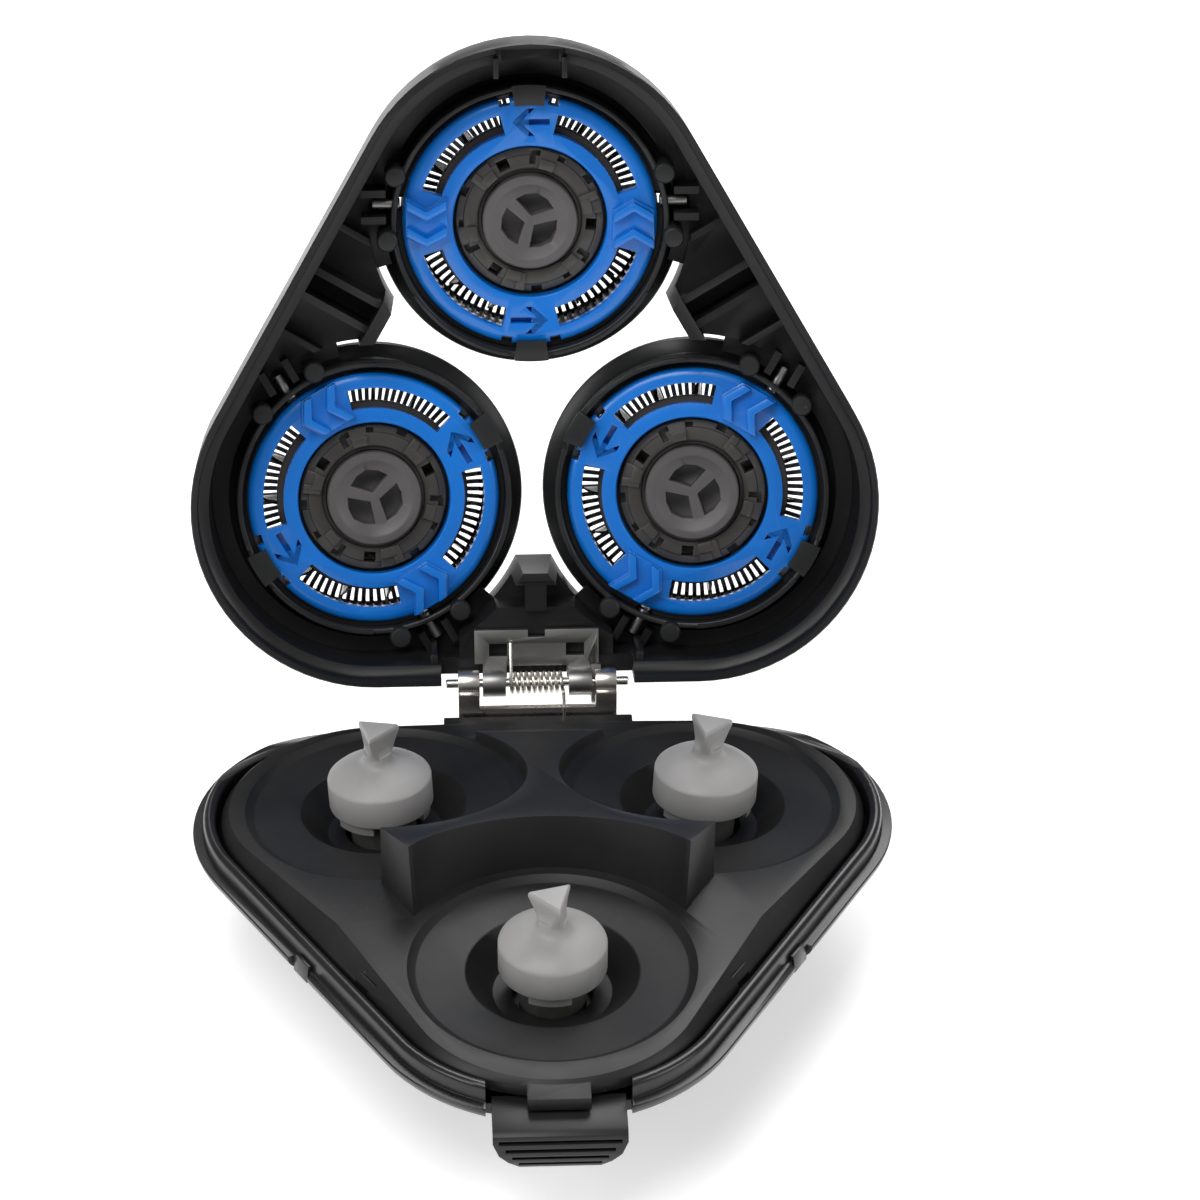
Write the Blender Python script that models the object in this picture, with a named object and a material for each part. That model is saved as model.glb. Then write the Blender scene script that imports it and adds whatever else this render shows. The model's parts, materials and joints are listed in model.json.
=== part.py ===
"""Three-head rotary shaving unit, unfolded on its hinge.

The base (drive side) stands on its round neck.  The lid (the three shaving heads in their
frame) is hinged to the back edge of the base and is drawn open, leaning back on its stop.
Lengths below are in millimetres; every mesh is scaled to metres when it is made.
The base frame has its origin in the middle of the three drivers, +Z up, -Y towards the latch.
Lid pieces are drawn in the closed position and carried by one matrix to the open one.
"""

import math

import bmesh
import bpy
from mathutils import Matrix, Vector

MM = 0.001

# ---- outline shared by base and lid ----
CORNER_R = 17.3          # corner centres from the middle
CORNER_ROUND = 16.7      # radius of a corner
OUTLINE_SHIFT = -0.5     # outline centre along Y
FOOT_R = 18.0            # round neck that it stands on
FOOT_Y = 3.0
LEDGE_Z = 12.2           # parting ledge of the base
LIP_Z = 13.8             # top of the raised lip
FLOOR_Z = 2.6            # inside floor of the base
SCREW_AT = 12.5          # tray screws from the middle
POST_R = 1.7

# ---- tray ----
TRAY_INSET = 2.6
TRAY_BOTTOM = 11.6
TRAY_APEX = 15.45        # where the three facets meet
FACET_TILT = 3.3         # degrees, falling outwards
RECESS_AT = 16.7
RECESS_R = 12.5
RECESS_DEPTH = 0.5
WELL_R = 7.4
WELL_FLOOR_R = 5.25
WELL_DEPTH = 2.4
BLOCK_TOP = 20.6
BLOCK_SLOPE = 0.245
BLOCK_ARC = 13.6         # hollow sides round the two rear drivers
BLOCK_FRONT_ARC = 14.5   # hollow side round the front driver
BLOCK_FRONT_Y = -17.5

# ---- drivers ----
DRIVER_R = 17.03         # driver axis from the middle, at the disc's top rim
DRIVER_Z = 17.5          # height of that rim
DRIVER_TILT = 3.5        # degrees, outwards at the top
DISC_R = 4.7
DISC_SIDE = 3.0
TIP_R = 2.15
TIP_TOP = 4.8            # above the rim
DRIVER_TRAVEL = 1.6
DRIVE_PHASE = (75.0, 45.0, 45.0)   # turn of each driver and of the socket that it enters

# ---- gears ----
SUN_TEETH = 15
PLANET_TEETH = 11
GEAR_LOW = 8.2
GEAR_HIGH = 10.2
GEAR_BACKLASH = 0.34
COLLAR_R = 3.0

# ---- hinge ----
HINGE_Y = 25.42
HINGE_Z = 15.96
LID_ANGLE = 109.2        # opening, degrees
PIN_R = 0.42
PIN_HALF = 8.55

# ---- lid ----
LID_EDGE_Z = 12.6
FRAME_WALL = 1.6
FRAME_FLOOR = 22.4       # inside face of the webs
FRAME_TOP = 25.2
POD_HOLE_R = 15.0
LEDGE_BORE = 13.5        # bore of the ledge behind each head's flange
WEB_INNER = 15.65        # webs' straight inner edge from the middle

# ---- heads ----
POD_R = 17.2             # head centre from the middle, at the ring's inner face
POD_Z = 20.86
POD_TILT = 6.0
PIVOT_OUT = 1.7          # pivot axis outside the head's centre
PIVOT_W = 1.0
PIVOT_PIN_R = 0.55
RING_R = 11.8
RING_BORE = 7.15
RING_THICK = 1.3
CUP_R = 12.9
CUP_BORE = 12.35
FLANGE_R = 14.3
POST_R_AT = 13.3          # snap posts from the head's centre
POST_SPREAD = 3.05       # snap posts beside each pivot pin
HUB_R = 6.7
COUPLING_R = 4.4
SLITS = 8
BLADES = 9

# ---- latch ----
BUTTON_HALF = 5.6
BUTTON_TRAVEL = 1.2

HEADS = (270.0, 30.0, 150.0)     # directions of head 1 (latch side), 2 (right), 3 (left)
SIDES = (90.0, 210.0, 330.0)     # middles of the straight sides

PAINT = {
    "black_plastic": ((0.022, 0.022, 0.024), 0.42, 0.0),
    "tray_plastic": ((0.030, 0.030, 0.033), 0.5, 0.0),
    "grey_plastic": ((0.46, 0.45, 0.45), 0.5, 0.0),
    "gear_plastic": ((0.62, 0.60, 0.55), 0.5, 0.0),
    "holder_plastic": ((0.055, 0.056, 0.06), 0.45, 0.0),
    "carrier_plastic": ((0.13, 0.125, 0.125), 0.5, 0.0),
    "blue_plastic": ((0.0, 0.2, 0.62), 0.3, 0.0),
    "bright_steel": ((0.78, 0.76, 0.72), 0.3, 1.0),
    "satin_steel": ((0.42, 0.42, 0.43), 0.38, 1.0),
    "chrome": ((0.85, 0.85, 0.87), 0.12, 1.0),
    "blade_steel": ((0.66, 0.66, 0.68), 0.25, 1.0),
}


# ---------------------------------------------------------------- small helpers

def polar(r, deg, z=0.0):
    a = math.radians(deg)
    return Vector((r * math.cos(a), r * math.sin(a), z))


def turn(deg, axis="Z"):
    return Matrix.Rotation(math.radians(deg), 4, axis)


def shift(x=0.0, y=0.0, z=0.0):
    return Matrix.Translation(Vector((x, y, z)))


def finish_mesh(name, bm):
    """Close a bmesh into an object; faces wound outwards."""
    bmesh.ops.remove_doubles(bm, verts=bm.verts, dist=1e-7)
    bmesh.ops.recalc_face_normals(bm, faces=bm.faces)
    mesh = bpy.data.meshes.new(name)
    bm.to_mesh(mesh)
    bm.free()
    obj = bpy.data.objects.new(name, mesh)
    bpy.context.scene.collection.objects.link(obj)
    return obj


def loft(name, rings):
    """Closed solid through rings of equal length, capped at both ends."""
    bm = bmesh.new()
    rows = [[bm.verts.new(Vector(p) * MM) for p in ring] for ring in rings]
    n = len(rows[0])
    for low, high in zip(rows, rows[1:]):
        for i in range(n):
            j = (i + 1) % n
            bm.faces.new((low[i], low[j], high[j], high[i]))
    bm.faces.new(list(reversed(rows[0])))
    bm.faces.new(rows[-1])
    return finish_mesh(name, bm)


def lathe(name, profile, steps=24):
    """Turn a closed (r, z) profile about Z; points at r = 0 become poles."""
    bm = bmesh.new()
    columns = []
    for k in range(steps):
        a = 2 * math.pi * k / steps
        columns.append((math.cos(a), math.sin(a)))
    rows = []
    for r, z in profile:
        if r < 1e-6:
            pole = bm.verts.new((0, 0, z * MM))
            rows.append([pole] * steps)
        else:
            rows.append([bm.verts.new((r * c * MM, r * s * MM, z * MM)) for c, s in columns])
    count = len(rows)
    for a in range(count):
        low, high = rows[a], rows[(a + 1) % count]
        if low[0] is low[1] and high[0] is high[1]:
            continue
        for i in range(steps):
            j = (i + 1) % steps
            corners = []
            for v in (low[i], low[j], high[j], high[i]):
                if v not in corners:
                    corners.append(v)
            bm.faces.new(corners)
    return finish_mesh(name, bm)


def prism(name, points, z0, z1):
    """Straight solid over a flat polygon."""
    return loft(name, [[(x, y, z0) for x, y in points], [(x, y, z1) for x, y in points]])


def box(name, x0, x1, y0, y1, z0, z1):
    return prism(name, [(x0, y0), (x1, y0), (x1, y1), (x0, y1)], z0, z1)


def rod(name, r, z0, z1, steps=24):
    return lathe(name, [(0, z0), (r, z0), (r, z1), (0, z1)], steps)


def scaled(matrix):
    """A millimetre matrix, with its translation in metres."""
    out = matrix.copy()
    out.translation = matrix.translation * MM
    return out


def moved(obj, matrix):
    obj.data.transform(scaled(matrix))
    return obj


def combine(obj, tools, mode):
    """Boolean each tool into obj and drop the tools."""
    for tool in tools:
        mod = obj.modifiers.new("bool", "BOOLEAN")
        mod.operation = mode
        mod.solver = "EXACT"
        mod.object = tool
        graph = bpy.context.evaluated_depsgraph_get()
        graph.update()
        result = bpy.data.meshes.new_from_object(obj.evaluated_get(graph), depsgraph=graph)
        obj.modifiers.remove(mod)
        old = obj.data
        obj.data = result
        result.name = obj.name
        bpy.data.meshes.remove(old)
        gone = tool.data
        bpy.data.objects.remove(tool, do_unlink=True)
        bpy.data.meshes.remove(gone)
    return obj


def cut(obj, *tools):
    return combine(obj, tools, "DIFFERENCE")


def fuse(obj, *tools):
    return combine(obj, tools, "UNION")


def copy_of(obj, name):
    twin = bpy.data.objects.new(name, obj.data.copy())
    twin.data.name = name
    bpy.context.scene.collection.objects.link(twin)
    return twin


def tube(name, points, r, steps=6):
    """Round wire along a path, with flat ends."""
    pts = [Vector(p) for p in points]
    rings = []
    side = None
    for i, p in enumerate(pts):
        ahead = pts[min(i + 1, len(pts) - 1)] - pts[max(i - 1, 0)]
        ahead.normalize()
        if side is None:
            side = ahead.orthogonal().normalized()
        side = (side - ahead * side.dot(ahead)).normalized()
        up = ahead.cross(side)
        ring = []
        for k in range(steps):
            a = 2 * math.pi * k / steps
            ring.append(tuple(p + side * (r * math.cos(a)) + up * (r * math.sin(a))))
        rings.append(ring)
    return loft(name, rings)


def coil_points(r, z0, z1, turns, per_turn=12):
    n = int(turns * per_turn)
    out = []
    for i in range(n + 1):
        a = 2 * math.pi * i / per_turn
        out.append((r * math.cos(a), r * math.sin(a), z0 + (z1 - z0) * i / n))
    return out


def paint(obj, slot):
    """Give the object its own material."""
    colour, rough, metal = PAINT[slot]
    mat = bpy.data.materials.new(obj.name + "_" + slot)
    mat.use_nodes = True
    mat.diffuse_color = (*colour, 1.0)
    bsdf = mat.node_tree.nodes["Principled BSDF"]
    bsdf.inputs["Base Color"].default_value = (*colour, 1.0)
    bsdf.inputs["Roughness"].default_value = rough
    bsdf.inputs["Metallic"].default_value = metal
    obj.data.materials.clear()
    obj.data.materials.append(mat)
    obj.data.shade_smooth()
    obj.data.set_sharp_from_angle(angle=math.radians(32))
    return obj


# ---------------------------------------------------------------- shared shapes

def outline(inset, z, per_corner=6, per_side=2):
    """The rounded triangle, moved inwards by inset."""
    ring = []
    for head in HEADS:
        centre = polar(CORNER_R, head)
        for k in range(per_corner + 1):
            a = head - 60 + 120 * k / per_corner
            ring.append(centre + polar(CORNER_ROUND - inset, a))
        last = ring[-1]
        step = (polar(CORNER_R, head + 120) - centre) / (per_side + 1)
        for k in range(1, per_side + 1):
            ring.append(last + step * k)
    return [(p.x, p.y + OUTLINE_SHIFT, z) for p in ring]


def foot_ring(r, z):
    """Circle with the outline's point order."""
    ring = []
    for x, y, _ in outline(0, 0):
        a = math.atan2(y - FOOT_Y, x)
        ring.append((r * math.cos(a), FOOT_Y + r * math.sin(a), z))
    return ring


def between(a, b, t, z):
    return [(p[0] + (q[0] - p[0]) * t, p[1] + (q[1] - p[1]) * t, z) for p, q in zip(a, b)]


def facing(head):
    """Rotation that turns local +X to the head's outward direction."""
    return turn(head)


def driver_matrix(head):
    """Driver frame: origin at the disc's rim, local +X outwards, local +Z up the axis."""
    return facing(head) @ shift(DRIVER_R, 0, DRIVER_Z) @ turn(DRIVER_TILT, "Y")


def facet_matrix(head):
    """Tray facet frame: origin at the recess centre on the facet."""
    z = TRAY_APEX - math.tan(math.radians(FACET_TILT)) * RECESS_AT
    return facing(head) @ shift(RECESS_AT, 0, z) @ turn(FACET_TILT, "Y")


def pod_matrix(head):
    """Head frame in the closed lid: origin on the ring's inner face, local +Z to the skin."""
    return facing(head) @ shift(POD_R, 0, POD_Z) @ turn(POD_TILT, "Y")


def open_matrix():
    """Carries closed-lid coordinates to the open lid."""
    return shift(0, HINGE_Y, HINGE_Z) @ turn(-LID_ANGLE, "X") @ shift(0, -HINGE_Y, -HINGE_Z)


def involute(r, base):
    a = math.acos(min(1.0, base / r))
    return math.tan(a) - a


def gear_outline(teeth, module, phase):
    """Involute spur gear as a polygon, one tooth centred on the phase angle (radians)."""
    pitch = module * teeth / 2
    base = pitch * math.cos(math.radians(20))
    root, tip = pitch - 1.1 * module, pitch + 0.7 * module
    half = math.pi / (2 * teeth) - GEAR_BACKLASH / (2 * pitch) + involute(pitch, base)
    points = []
    for t in range(teeth):
        mid = phase + 2 * math.pi * t / teeth
        levels = [root, pitch, tip]
        angles = [half - involute(max(r, base), base) for r in levels]
        angles[0] = min(angles[0] * 1.12, math.pi / teeth * 0.92)
        for r, a in zip(levels, angles):
            points.append((r * math.cos(mid - a), r * math.sin(mid - a)))
        for r, a in zip(reversed(levels), reversed(angles)):
            points.append((r * math.cos(mid + a), r * math.sin(mid + a)))
    return points


def gear_sizes():
    """Planet axis radius at the gear plane, and the module that fits it."""
    drop = DRIVER_Z - (GEAR_LOW + GEAR_HIGH) / 2
    reach = DRIVER_R - drop * math.tan(math.radians(DRIVER_TILT))
    return reach, 2 * reach / (SUN_TEETH + PLANET_TEETH)


def planet_phase(head):
    """Angle of a planet tooth in the planet's own frame, so that it meshes with the sun."""
    step = 2 * math.pi / SUN_TEETH
    theta = math.radians(head)
    lead = (math.ceil(theta / step) * step) - theta
    angle = math.pi - lead * SUN_TEETH / PLANET_TEETH + math.pi / PLANET_TEETH
    return angle


def sector(name, r0, r1, a0, a1, z0, z1, steps=8):
    """Ring sector between two angles (degrees)."""
    inner = [polar(r0, a0 + (a1 - a0) * k / steps) for k in range(steps + 1)]
    outer = [polar(r1, a0 + (a1 - a0) * k / steps) for k in range(steps + 1)]
    pts = [(p.x, p.y) for p in inner] + [(p.x, p.y) for p in reversed(outer)]
    return prism(name, pts, z0, z1)


# ---------------------------------------------------------------- base

def make_base_shell():
    rim, skin = outline(0, 0), outline(FRAME_WALL, 0)
    low, low_in = foot_ring(FOOT_R, 0), foot_ring(FOOT_R - 1.6, 0)
    rings = [
        foot_ring(FOOT_R - 0.6, 0.0),
        foot_ring(FOOT_R, 0.6),
        between(low, rim, 0.5, 5.9),
        outline(1.0, LEDGE_Z - 1.6),
        outline(0.25, LEDGE_Z - 0.8),
        outline(0.0, LEDGE_Z - 0.4),
        outline(0.0, LEDGE_Z),
        outline(0.95, LEDGE_Z),
        outline(1.0, LIP_Z - 0.5),
        outline(1.3, LIP_Z),
        outline(1.8, LIP_Z),
        outline(2.1, LIP_Z - 0.3),
        outline(2.1, LEDGE_Z - 1.2),
        between(low_in, skin, 0.5, 6.7),
        foot_ring(FOOT_R - 1.8, FLOOR_Z),
    ]
    shell = loft("base_shell", rings)
    reach, _ = gear_sizes()
    extras = []
    for head in HEADS:
        top = GEAR_LOW - DRIVER_Z - 0.6
        foot = -14.2 if head == HEADS[0] else -15.3
        extras.append(moved(rod("post", 2.4, foot, top, 8), driver_matrix(head)))
    extras.append(lathe("boss", [(7.4, FLOOR_Z - 1.0), (8.9, FLOOR_Z - 1.0), (8.9, 6.4), (7.4, 6.4)], 16))
    fuse(shell, *extras)
    holes = [rod("bore", 6.0, -1, FLOOR_Z + 1.0, 18), rod("neck", 9.4, -1, 0.9, 18)]
    for head in HEADS:
        holes.append(moved(rod("pit", PIVOT_PIN_R + 0.67, -12.9, -7.0, 8), driver_matrix(head)))
    for side in SIDES:
        p = polar(SCREW_AT, side)
        holes.append(moved(rod("clear", 1.2, -1, FLOOR_Z + 1, 8), shift(p.x, p.y)))
        holes.append(moved(rod("sink", 2.05, -1, 1.5, 10), shift(p.x, p.y)))
    # window for the release button
    holes.append(box("window", -BUTTON_HALF - 0.5, BUTTON_HALF + 0.5, -40, -30.6, 7.4, 16))
    # hinge pocket, and the lip taken down where the lid swings past it
    holes.append(box("pocket", -7.8, 7.8, HINGE_Y - 2.05, 30, LEDGE_Z - 1.4, 16))
    sweep = moved(rod("sweep", 4.0, -30, 30, 16), shift(0, HINGE_Y, HINGE_Z) @ turn(90, "Y"))
    holes.append(sweep)
    ramp = box("ramp", -40, 40, 0, 30, 0, 6)
    holes.append(moved(ramp, shift(0, 12.5, LIP_Z + 0.15) @ turn(-11.5, "X")))
    return cut(shell, *holes)


def make_drive_tray():
    tray = loft("drive_tray", [
        outline(TRAY_INSET, TRAY_BOTTOM),
        outline(TRAY_INSET, 13.1),
        outline(TRAY_INSET + 0.3, 13.4),
        outline(TRAY_INSET + 2.9, 16.0),
    ])
    slabs = []
    for head in HEADS:
        slab = box("slab", -60, 60, -60, 60, 0, 12)
        slabs.append(moved(slab, facet_matrix(head)))
    cut(tray, *slabs)
    # block between the drivers
    pts = []
    spots = [polar(DRIVER_R, h) for h in HEADS]
    _, right, left = spots
    front = Vector((0, BLOCK_FRONT_Y, 0))
    for centre, r, a0, a1 in (
        (front, BLOCK_FRONT_ARC, 147.0, 33.0), (right, BLOCK_ARC, 269.4, 132.0), (left, BLOCK_ARC, 48.0, -89.4),
    ):
        for k in range(9):
            p = centre + polar(r, a0 + (a1 - a0) * k / 8)
            pts.append((p.x, p.y))
    block = prism("block", pts, 13.2, 24.0)
    lid_plane = box("plane", -40, 40, -60, 60, 0, 20)
    tilt = -math.degrees(math.atan(BLOCK_SLOPE))
    cut(block, moved(lid_plane, shift(0, -3.2, BLOCK_TOP) @ turn(tilt, "X")))
    cups = [moved(rod("cup", WELL_R + 1.2, -(RECESS_DEPTH + WELL_DEPTH + 1.0), -1.6, 16), facet_matrix(h)) for h in HEADS]
    posts = []
    for side in SIDES:
        p = polar(SCREW_AT, side)
        posts.append(moved(rod("post", POST_R, FLOOR_Z + 0.8, TRAY_BOTTOM + 0.4, 8), shift(p.x, p.y)))
    tongue = box("tongue", -2.65, 2.65, -33.6, -29.0, LEDGE_Z, 13.35)
    fuse(tray, block, *cups, *posts, tongue)
    holes = []
    for head in HEADS:
        d = RECESS_DEPTH
        holes.append(moved(lathe("recess", [
            (0, 3.0), (RECESS_R + 0.02, 3.0), (RECESS_R, 0.0), (RECESS_R - 0.8, -d), (WELL_R, -d),
            (WELL_FLOOR_R, -d - WELL_DEPTH), (0, -d - WELL_DEPTH),
        ], 24), facet_matrix(head)))
        holes.append(moved(rod("through", COLLAR_R + 0.5, -12, 0, 14), driver_matrix(head)))
    for side in SIDES:
        p = polar(SCREW_AT, side)
        holes.append(moved(rod("pilot", 1.1, 0, 9.6, 8), shift(p.x, p.y)))
    holes.append(box("slot", -BUTTON_HALF - 0.6, BUTTON_HALF + 0.6, -36, -29.4, 8, LEDGE_Z))
    holes.append(box("nest", -1.5, 1.5, -31.2, -26.1, 8, 12.7))
    for s in (-1, 1):
        holes.append(moved(box("hook", -1.0, 1.0, -0.35, 0.35, 12.4, 16), shift(s * 16.6, -17.6) @ turn(s * 58)))
    holes.append(moved(rod("sweep", 4.0, -30, 30, 16), shift(0, HINGE_Y, HINGE_Z) @ turn(90, "Y")))
    holes.append(rod("crown", 2.6, 8, 12.4, 12))
    return cut(tray, *holes)


def make_central_gear():
    _, module = gear_sizes()
    gear = prism("central_gear", gear_outline(SUN_TEETH, module, 0.0), GEAR_LOW, GEAR_HIGH)
    fuse(gear, rod("hub", 5.2, 1.2, GEAR_LOW + 0.4, 18), rod("top", 2.2, GEAR_HIGH - 0.4, 11.9, 10))
    lobes = [rod("socket", 2.2, 0, 6.8, 12)]
    for k in range(3):
        lobes.append(moved(box("lobe", 0, 3.7, -0.9, 0.9, 0, 6.8), turn(120 * k)))
    return cut(gear, *lobes)


def make_drive_bearing():
    return lathe("drive_bearing", [(5.6, 3.0), (6.85, 3.0), (6.85, 6.2), (5.6, 6.2)], 18)


def make_planet_gear(index, head):
    """Gear with its collar, in the driver's frame."""
    _, module = gear_sizes()
    low, high = GEAR_LOW - DRIVER_Z, GEAR_HIGH - DRIVER_Z
    gear = prism(f"planet_gear_{index}", gear_outline(PLANET_TEETH, module, planet_phase(head)), low, high)
    fuse(gear, rod("collar", COLLAR_R, high - 0.5, -3.6, 14))
    cut(gear, rod("bore", 1.25, low - 1, high + 2, 8), rod("nest", 2.3, high + 0.6, 0, 12))
    return gear


def make_gear_axle(index):
    return rod(f"gear_axle_{index}", 0.9, -12.5, -5.6, 8)


def make_driver(index):
    """Sprung driver: disc, dome, neck and a three-pronged tip."""
    body = lathe(f"drive_spindle_{index}", [
        (0, -0.3), (2.4, -0.3), (2.4, -1.3), (3.4, -1.3), (3.4, -DISC_SIDE), (DISC_R - 0.15, -DISC_SIDE),
        (DISC_R, -DISC_SIDE + 0.15), (DISC_R, -0.2), (3.4, 0.72), (1.5, 1.3), (1.3, 1.9),
        (1.3, 2.4), (0, 2.4),
    ], 18)
    # flared three-cornered head, wide along each prong
    def corner_ring(r_tip, r_flat, z):
        pts = []
        for k in range(3):
            for da, r in ((-60, r_flat), (-24, r_tip * 0.9), (0, r_tip), (24, r_tip * 0.9)):
                p = polar(r, 120 * k + 60 + da)
                pts.append((p.x, p.y, z))
        return pts
    head = loft("head", [corner_ring(1.3, 1.0, 2.0), corner_ring(TIP_R, 1.35, 3.5), corner_ring(TIP_R * 0.86, 1.15, TIP_TOP)])
    fuse(body, head)
    grooves = [moved(box("groove", -0.25, 4, -0.58, 0.58, 3.65, 6), turn(120 * k)) for k in range(3)]
    cut(body, *grooves)
    tabs = []
    for k in range(3):
        tabs.append(sector("tab", 3.5, DISC_R - 0.35, 120 * k + 15, 120 * k + 65, -3.9, -DISC_SIDE + 0.3, 2))
    return fuse(body, *tabs)


def make_spindle_spring(index):
    low = GEAR_HIGH - DRIVER_Z + 0.6 + 0.5
    return tube(f"spindle_spring_{index}", coil_points(1.72, low, -0.85, 3, 7), 0.2, 4)


def make_tray_screw(index):
    screw = lathe(f"tray_screw_{index}", [(0, 0.25), (1.6, 0.25), (1.6, 1.15), (0.74, 1.15), (0.74, 8.9), (0, 9.2)], 8)
    return cut(screw, box("drive_a", -1.1, 1.1, -0.2, 0.2, 0, 0.7), box("drive_b", -0.2, 0.2, -1.1, 1.1, 0, 0.7))


def make_release_button():
    slab = box("release_button", -BUTTON_HALF, BUTTON_HALF, -35.3, -31.1, 10.85, 11.85)
    grip = loft("grip", [
        [(-3.3, -35.7, 8.0), (3.3, -35.7, 8.0), (3.3, -34.6, 8.0), (-3.3, -34.6, 8.0)],
        [(-5.0, -36.4, 9.4), (5.0, -36.4, 9.4), (5.0, -33.9, 9.4), (-5.0, -33.9, 9.4)],
        [(-BUTTON_HALF, -36.2, 11.3), (BUTTON_HALF, -36.2, 11.3), (BUTTON_HALF, -33.5, 11.3), (-BUTTON_HALF, -33.5, 11.3)],
        [(-BUTTON_HALF, -35.6, 11.85), (BUTTON_HALF, -35.6, 11.85), (BUTTON_HALF, -33.5, 11.85), (-BUTTON_HALF, -33.5, 11.85)],
    ])
    fuse(slab, grip)
    ribs = [box("rib", -4.7 + 0.5 * k, 4.7 - 0.5 * k, -38, -35.75, 10.55 - 0.85 * k, 10.9 - 0.85 * k) for k in range(3)]
    return cut(slab, *ribs)


def make_latch_spring():
    spring = tube("latch_spring", coil_points(0.7, -30.6, -26.7, 4, 6), 0.16, 3)
    return moved(spring, shift(0, 0, 11.45) @ turn(-90, "X"))


# ---------------------------------------------------------------- hinge

def knuckle(x0, x1):
    ring = rod("knuckle", 1.28, x0, x1, 12)
    return moved(ring, shift(0, HINGE_Y, HINGE_Z) @ turn(90, "Y"))


def knuckle_bore():
    return moved(rod("bore", 0.76, -12, 12, 10), shift(0, HINGE_Y, HINGE_Z) @ turn(90, "Y"))


def make_hinge_bracket_lower():
    y0 = HINGE_Y - 1.75
    plate = box("hinge_bracket_lower", -7.4, 7.4, y0, y0 + 0.6, LEDGE_Z - 1.0, HINGE_Z - 1.7)
    ears = [box("ear", s * 6.4 - 1.0, s * 6.4 + 1.0, y0, HINGE_Y - 0.2, HINGE_Z - 2.1, HINGE_Z - 0.2) for s in (-1, 1)]
    fuse(plate, *ears)
    fuse(plate, knuckle(-7.4, -5.4), knuckle(5.4, 7.4))
    return cut(plate, knuckle_bore(), box("mid", -2.0, 2.0, y0 - 1, y0 + 2, LEDGE_Z - 2, LEDGE_Z - 0.2))


def make_hinge_pin():
    return moved(rod("hinge_pin", PIN_R, -PIN_HALF, PIN_HALF, 8), shift(0, HINGE_Y, HINGE_Z) @ turn(90, "Y"))


def make_hinge_spring():
    """Torsion spring: one leg lies on the open upper plate, the other on the lower plate."""
    turns, per = 7, 8
    a0 = math.radians(150)
    pts = []
    n = turns * per + 3
    for i in range(n + 1):
        a = a0 + 2 * math.pi * i / per
        pts.append((-2.45 + 4.9 * i / n, 0.92 * math.cos(a), 0.92 * math.sin(a)))
    up = Vector((0, math.cos(math.radians(LID_ANGLE)) * -1, math.sin(math.radians(LID_ANGLE))))
    first, last = Vector(pts[0]), Vector(pts[-1])
    rest = Vector((0, math.sin(math.radians(LID_ANGLE)), math.cos(math.radians(LID_ANGLE))))
    leg_up = [tuple(first + up * 3.6 + rest), tuple(first + up * 1.0)]
    leg_down = [(last.x, -1.3, -0.92), (last.x, -2.22, -1.4), (last.x, -2.22, -2.5)]
    pts = leg_up + pts + leg_down
    wire = tube("hinge_spring", pts, 0.14, 3)
    return moved(wire, shift(0, HINGE_Y, HINGE_Z))


def make_hinge_bracket_upper():
    """Drawn in the closed lid."""
    z0 = HINGE_Z + 0.66
    plate = box("hinge_bracket_upper", -5.8, 5.8, HINGE_Y - 4.9, HINGE_Y - 0.3, z0, z0 + 0.6)
    fuse(plate, knuckle(-5.1, -2.95), knuckle(2.95, 5.1))
    cuts = [knuckle_bore(), box("gap", -2.8, 2.8, HINGE_Y - 1.45, HINGE_Y + 2, z0 - 1, z0 + 2)]
    for s in (-1, 1):
        cuts.append(box("hole", s * 3.6 - 0.85, s * 3.6 + 0.85, HINGE_Y - 3.6, HINGE_Y - 2.4, z0 - 1, z0 + 2))
        cuts.append(box("step", s * 5.5 - 0.45, s * 5.5 + 0.45, HINGE_Y - 1.7, HINGE_Y + 2, z0 - 1, z0 + 2))
    cuts.append(box("notch", -0.8, 0.8, HINGE_Y - 6, HINGE_Y - 4.2, z0 - 1, z0 + 2))
    return cut(plate, *cuts)


# ---------------------------------------------------------------- lid

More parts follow.
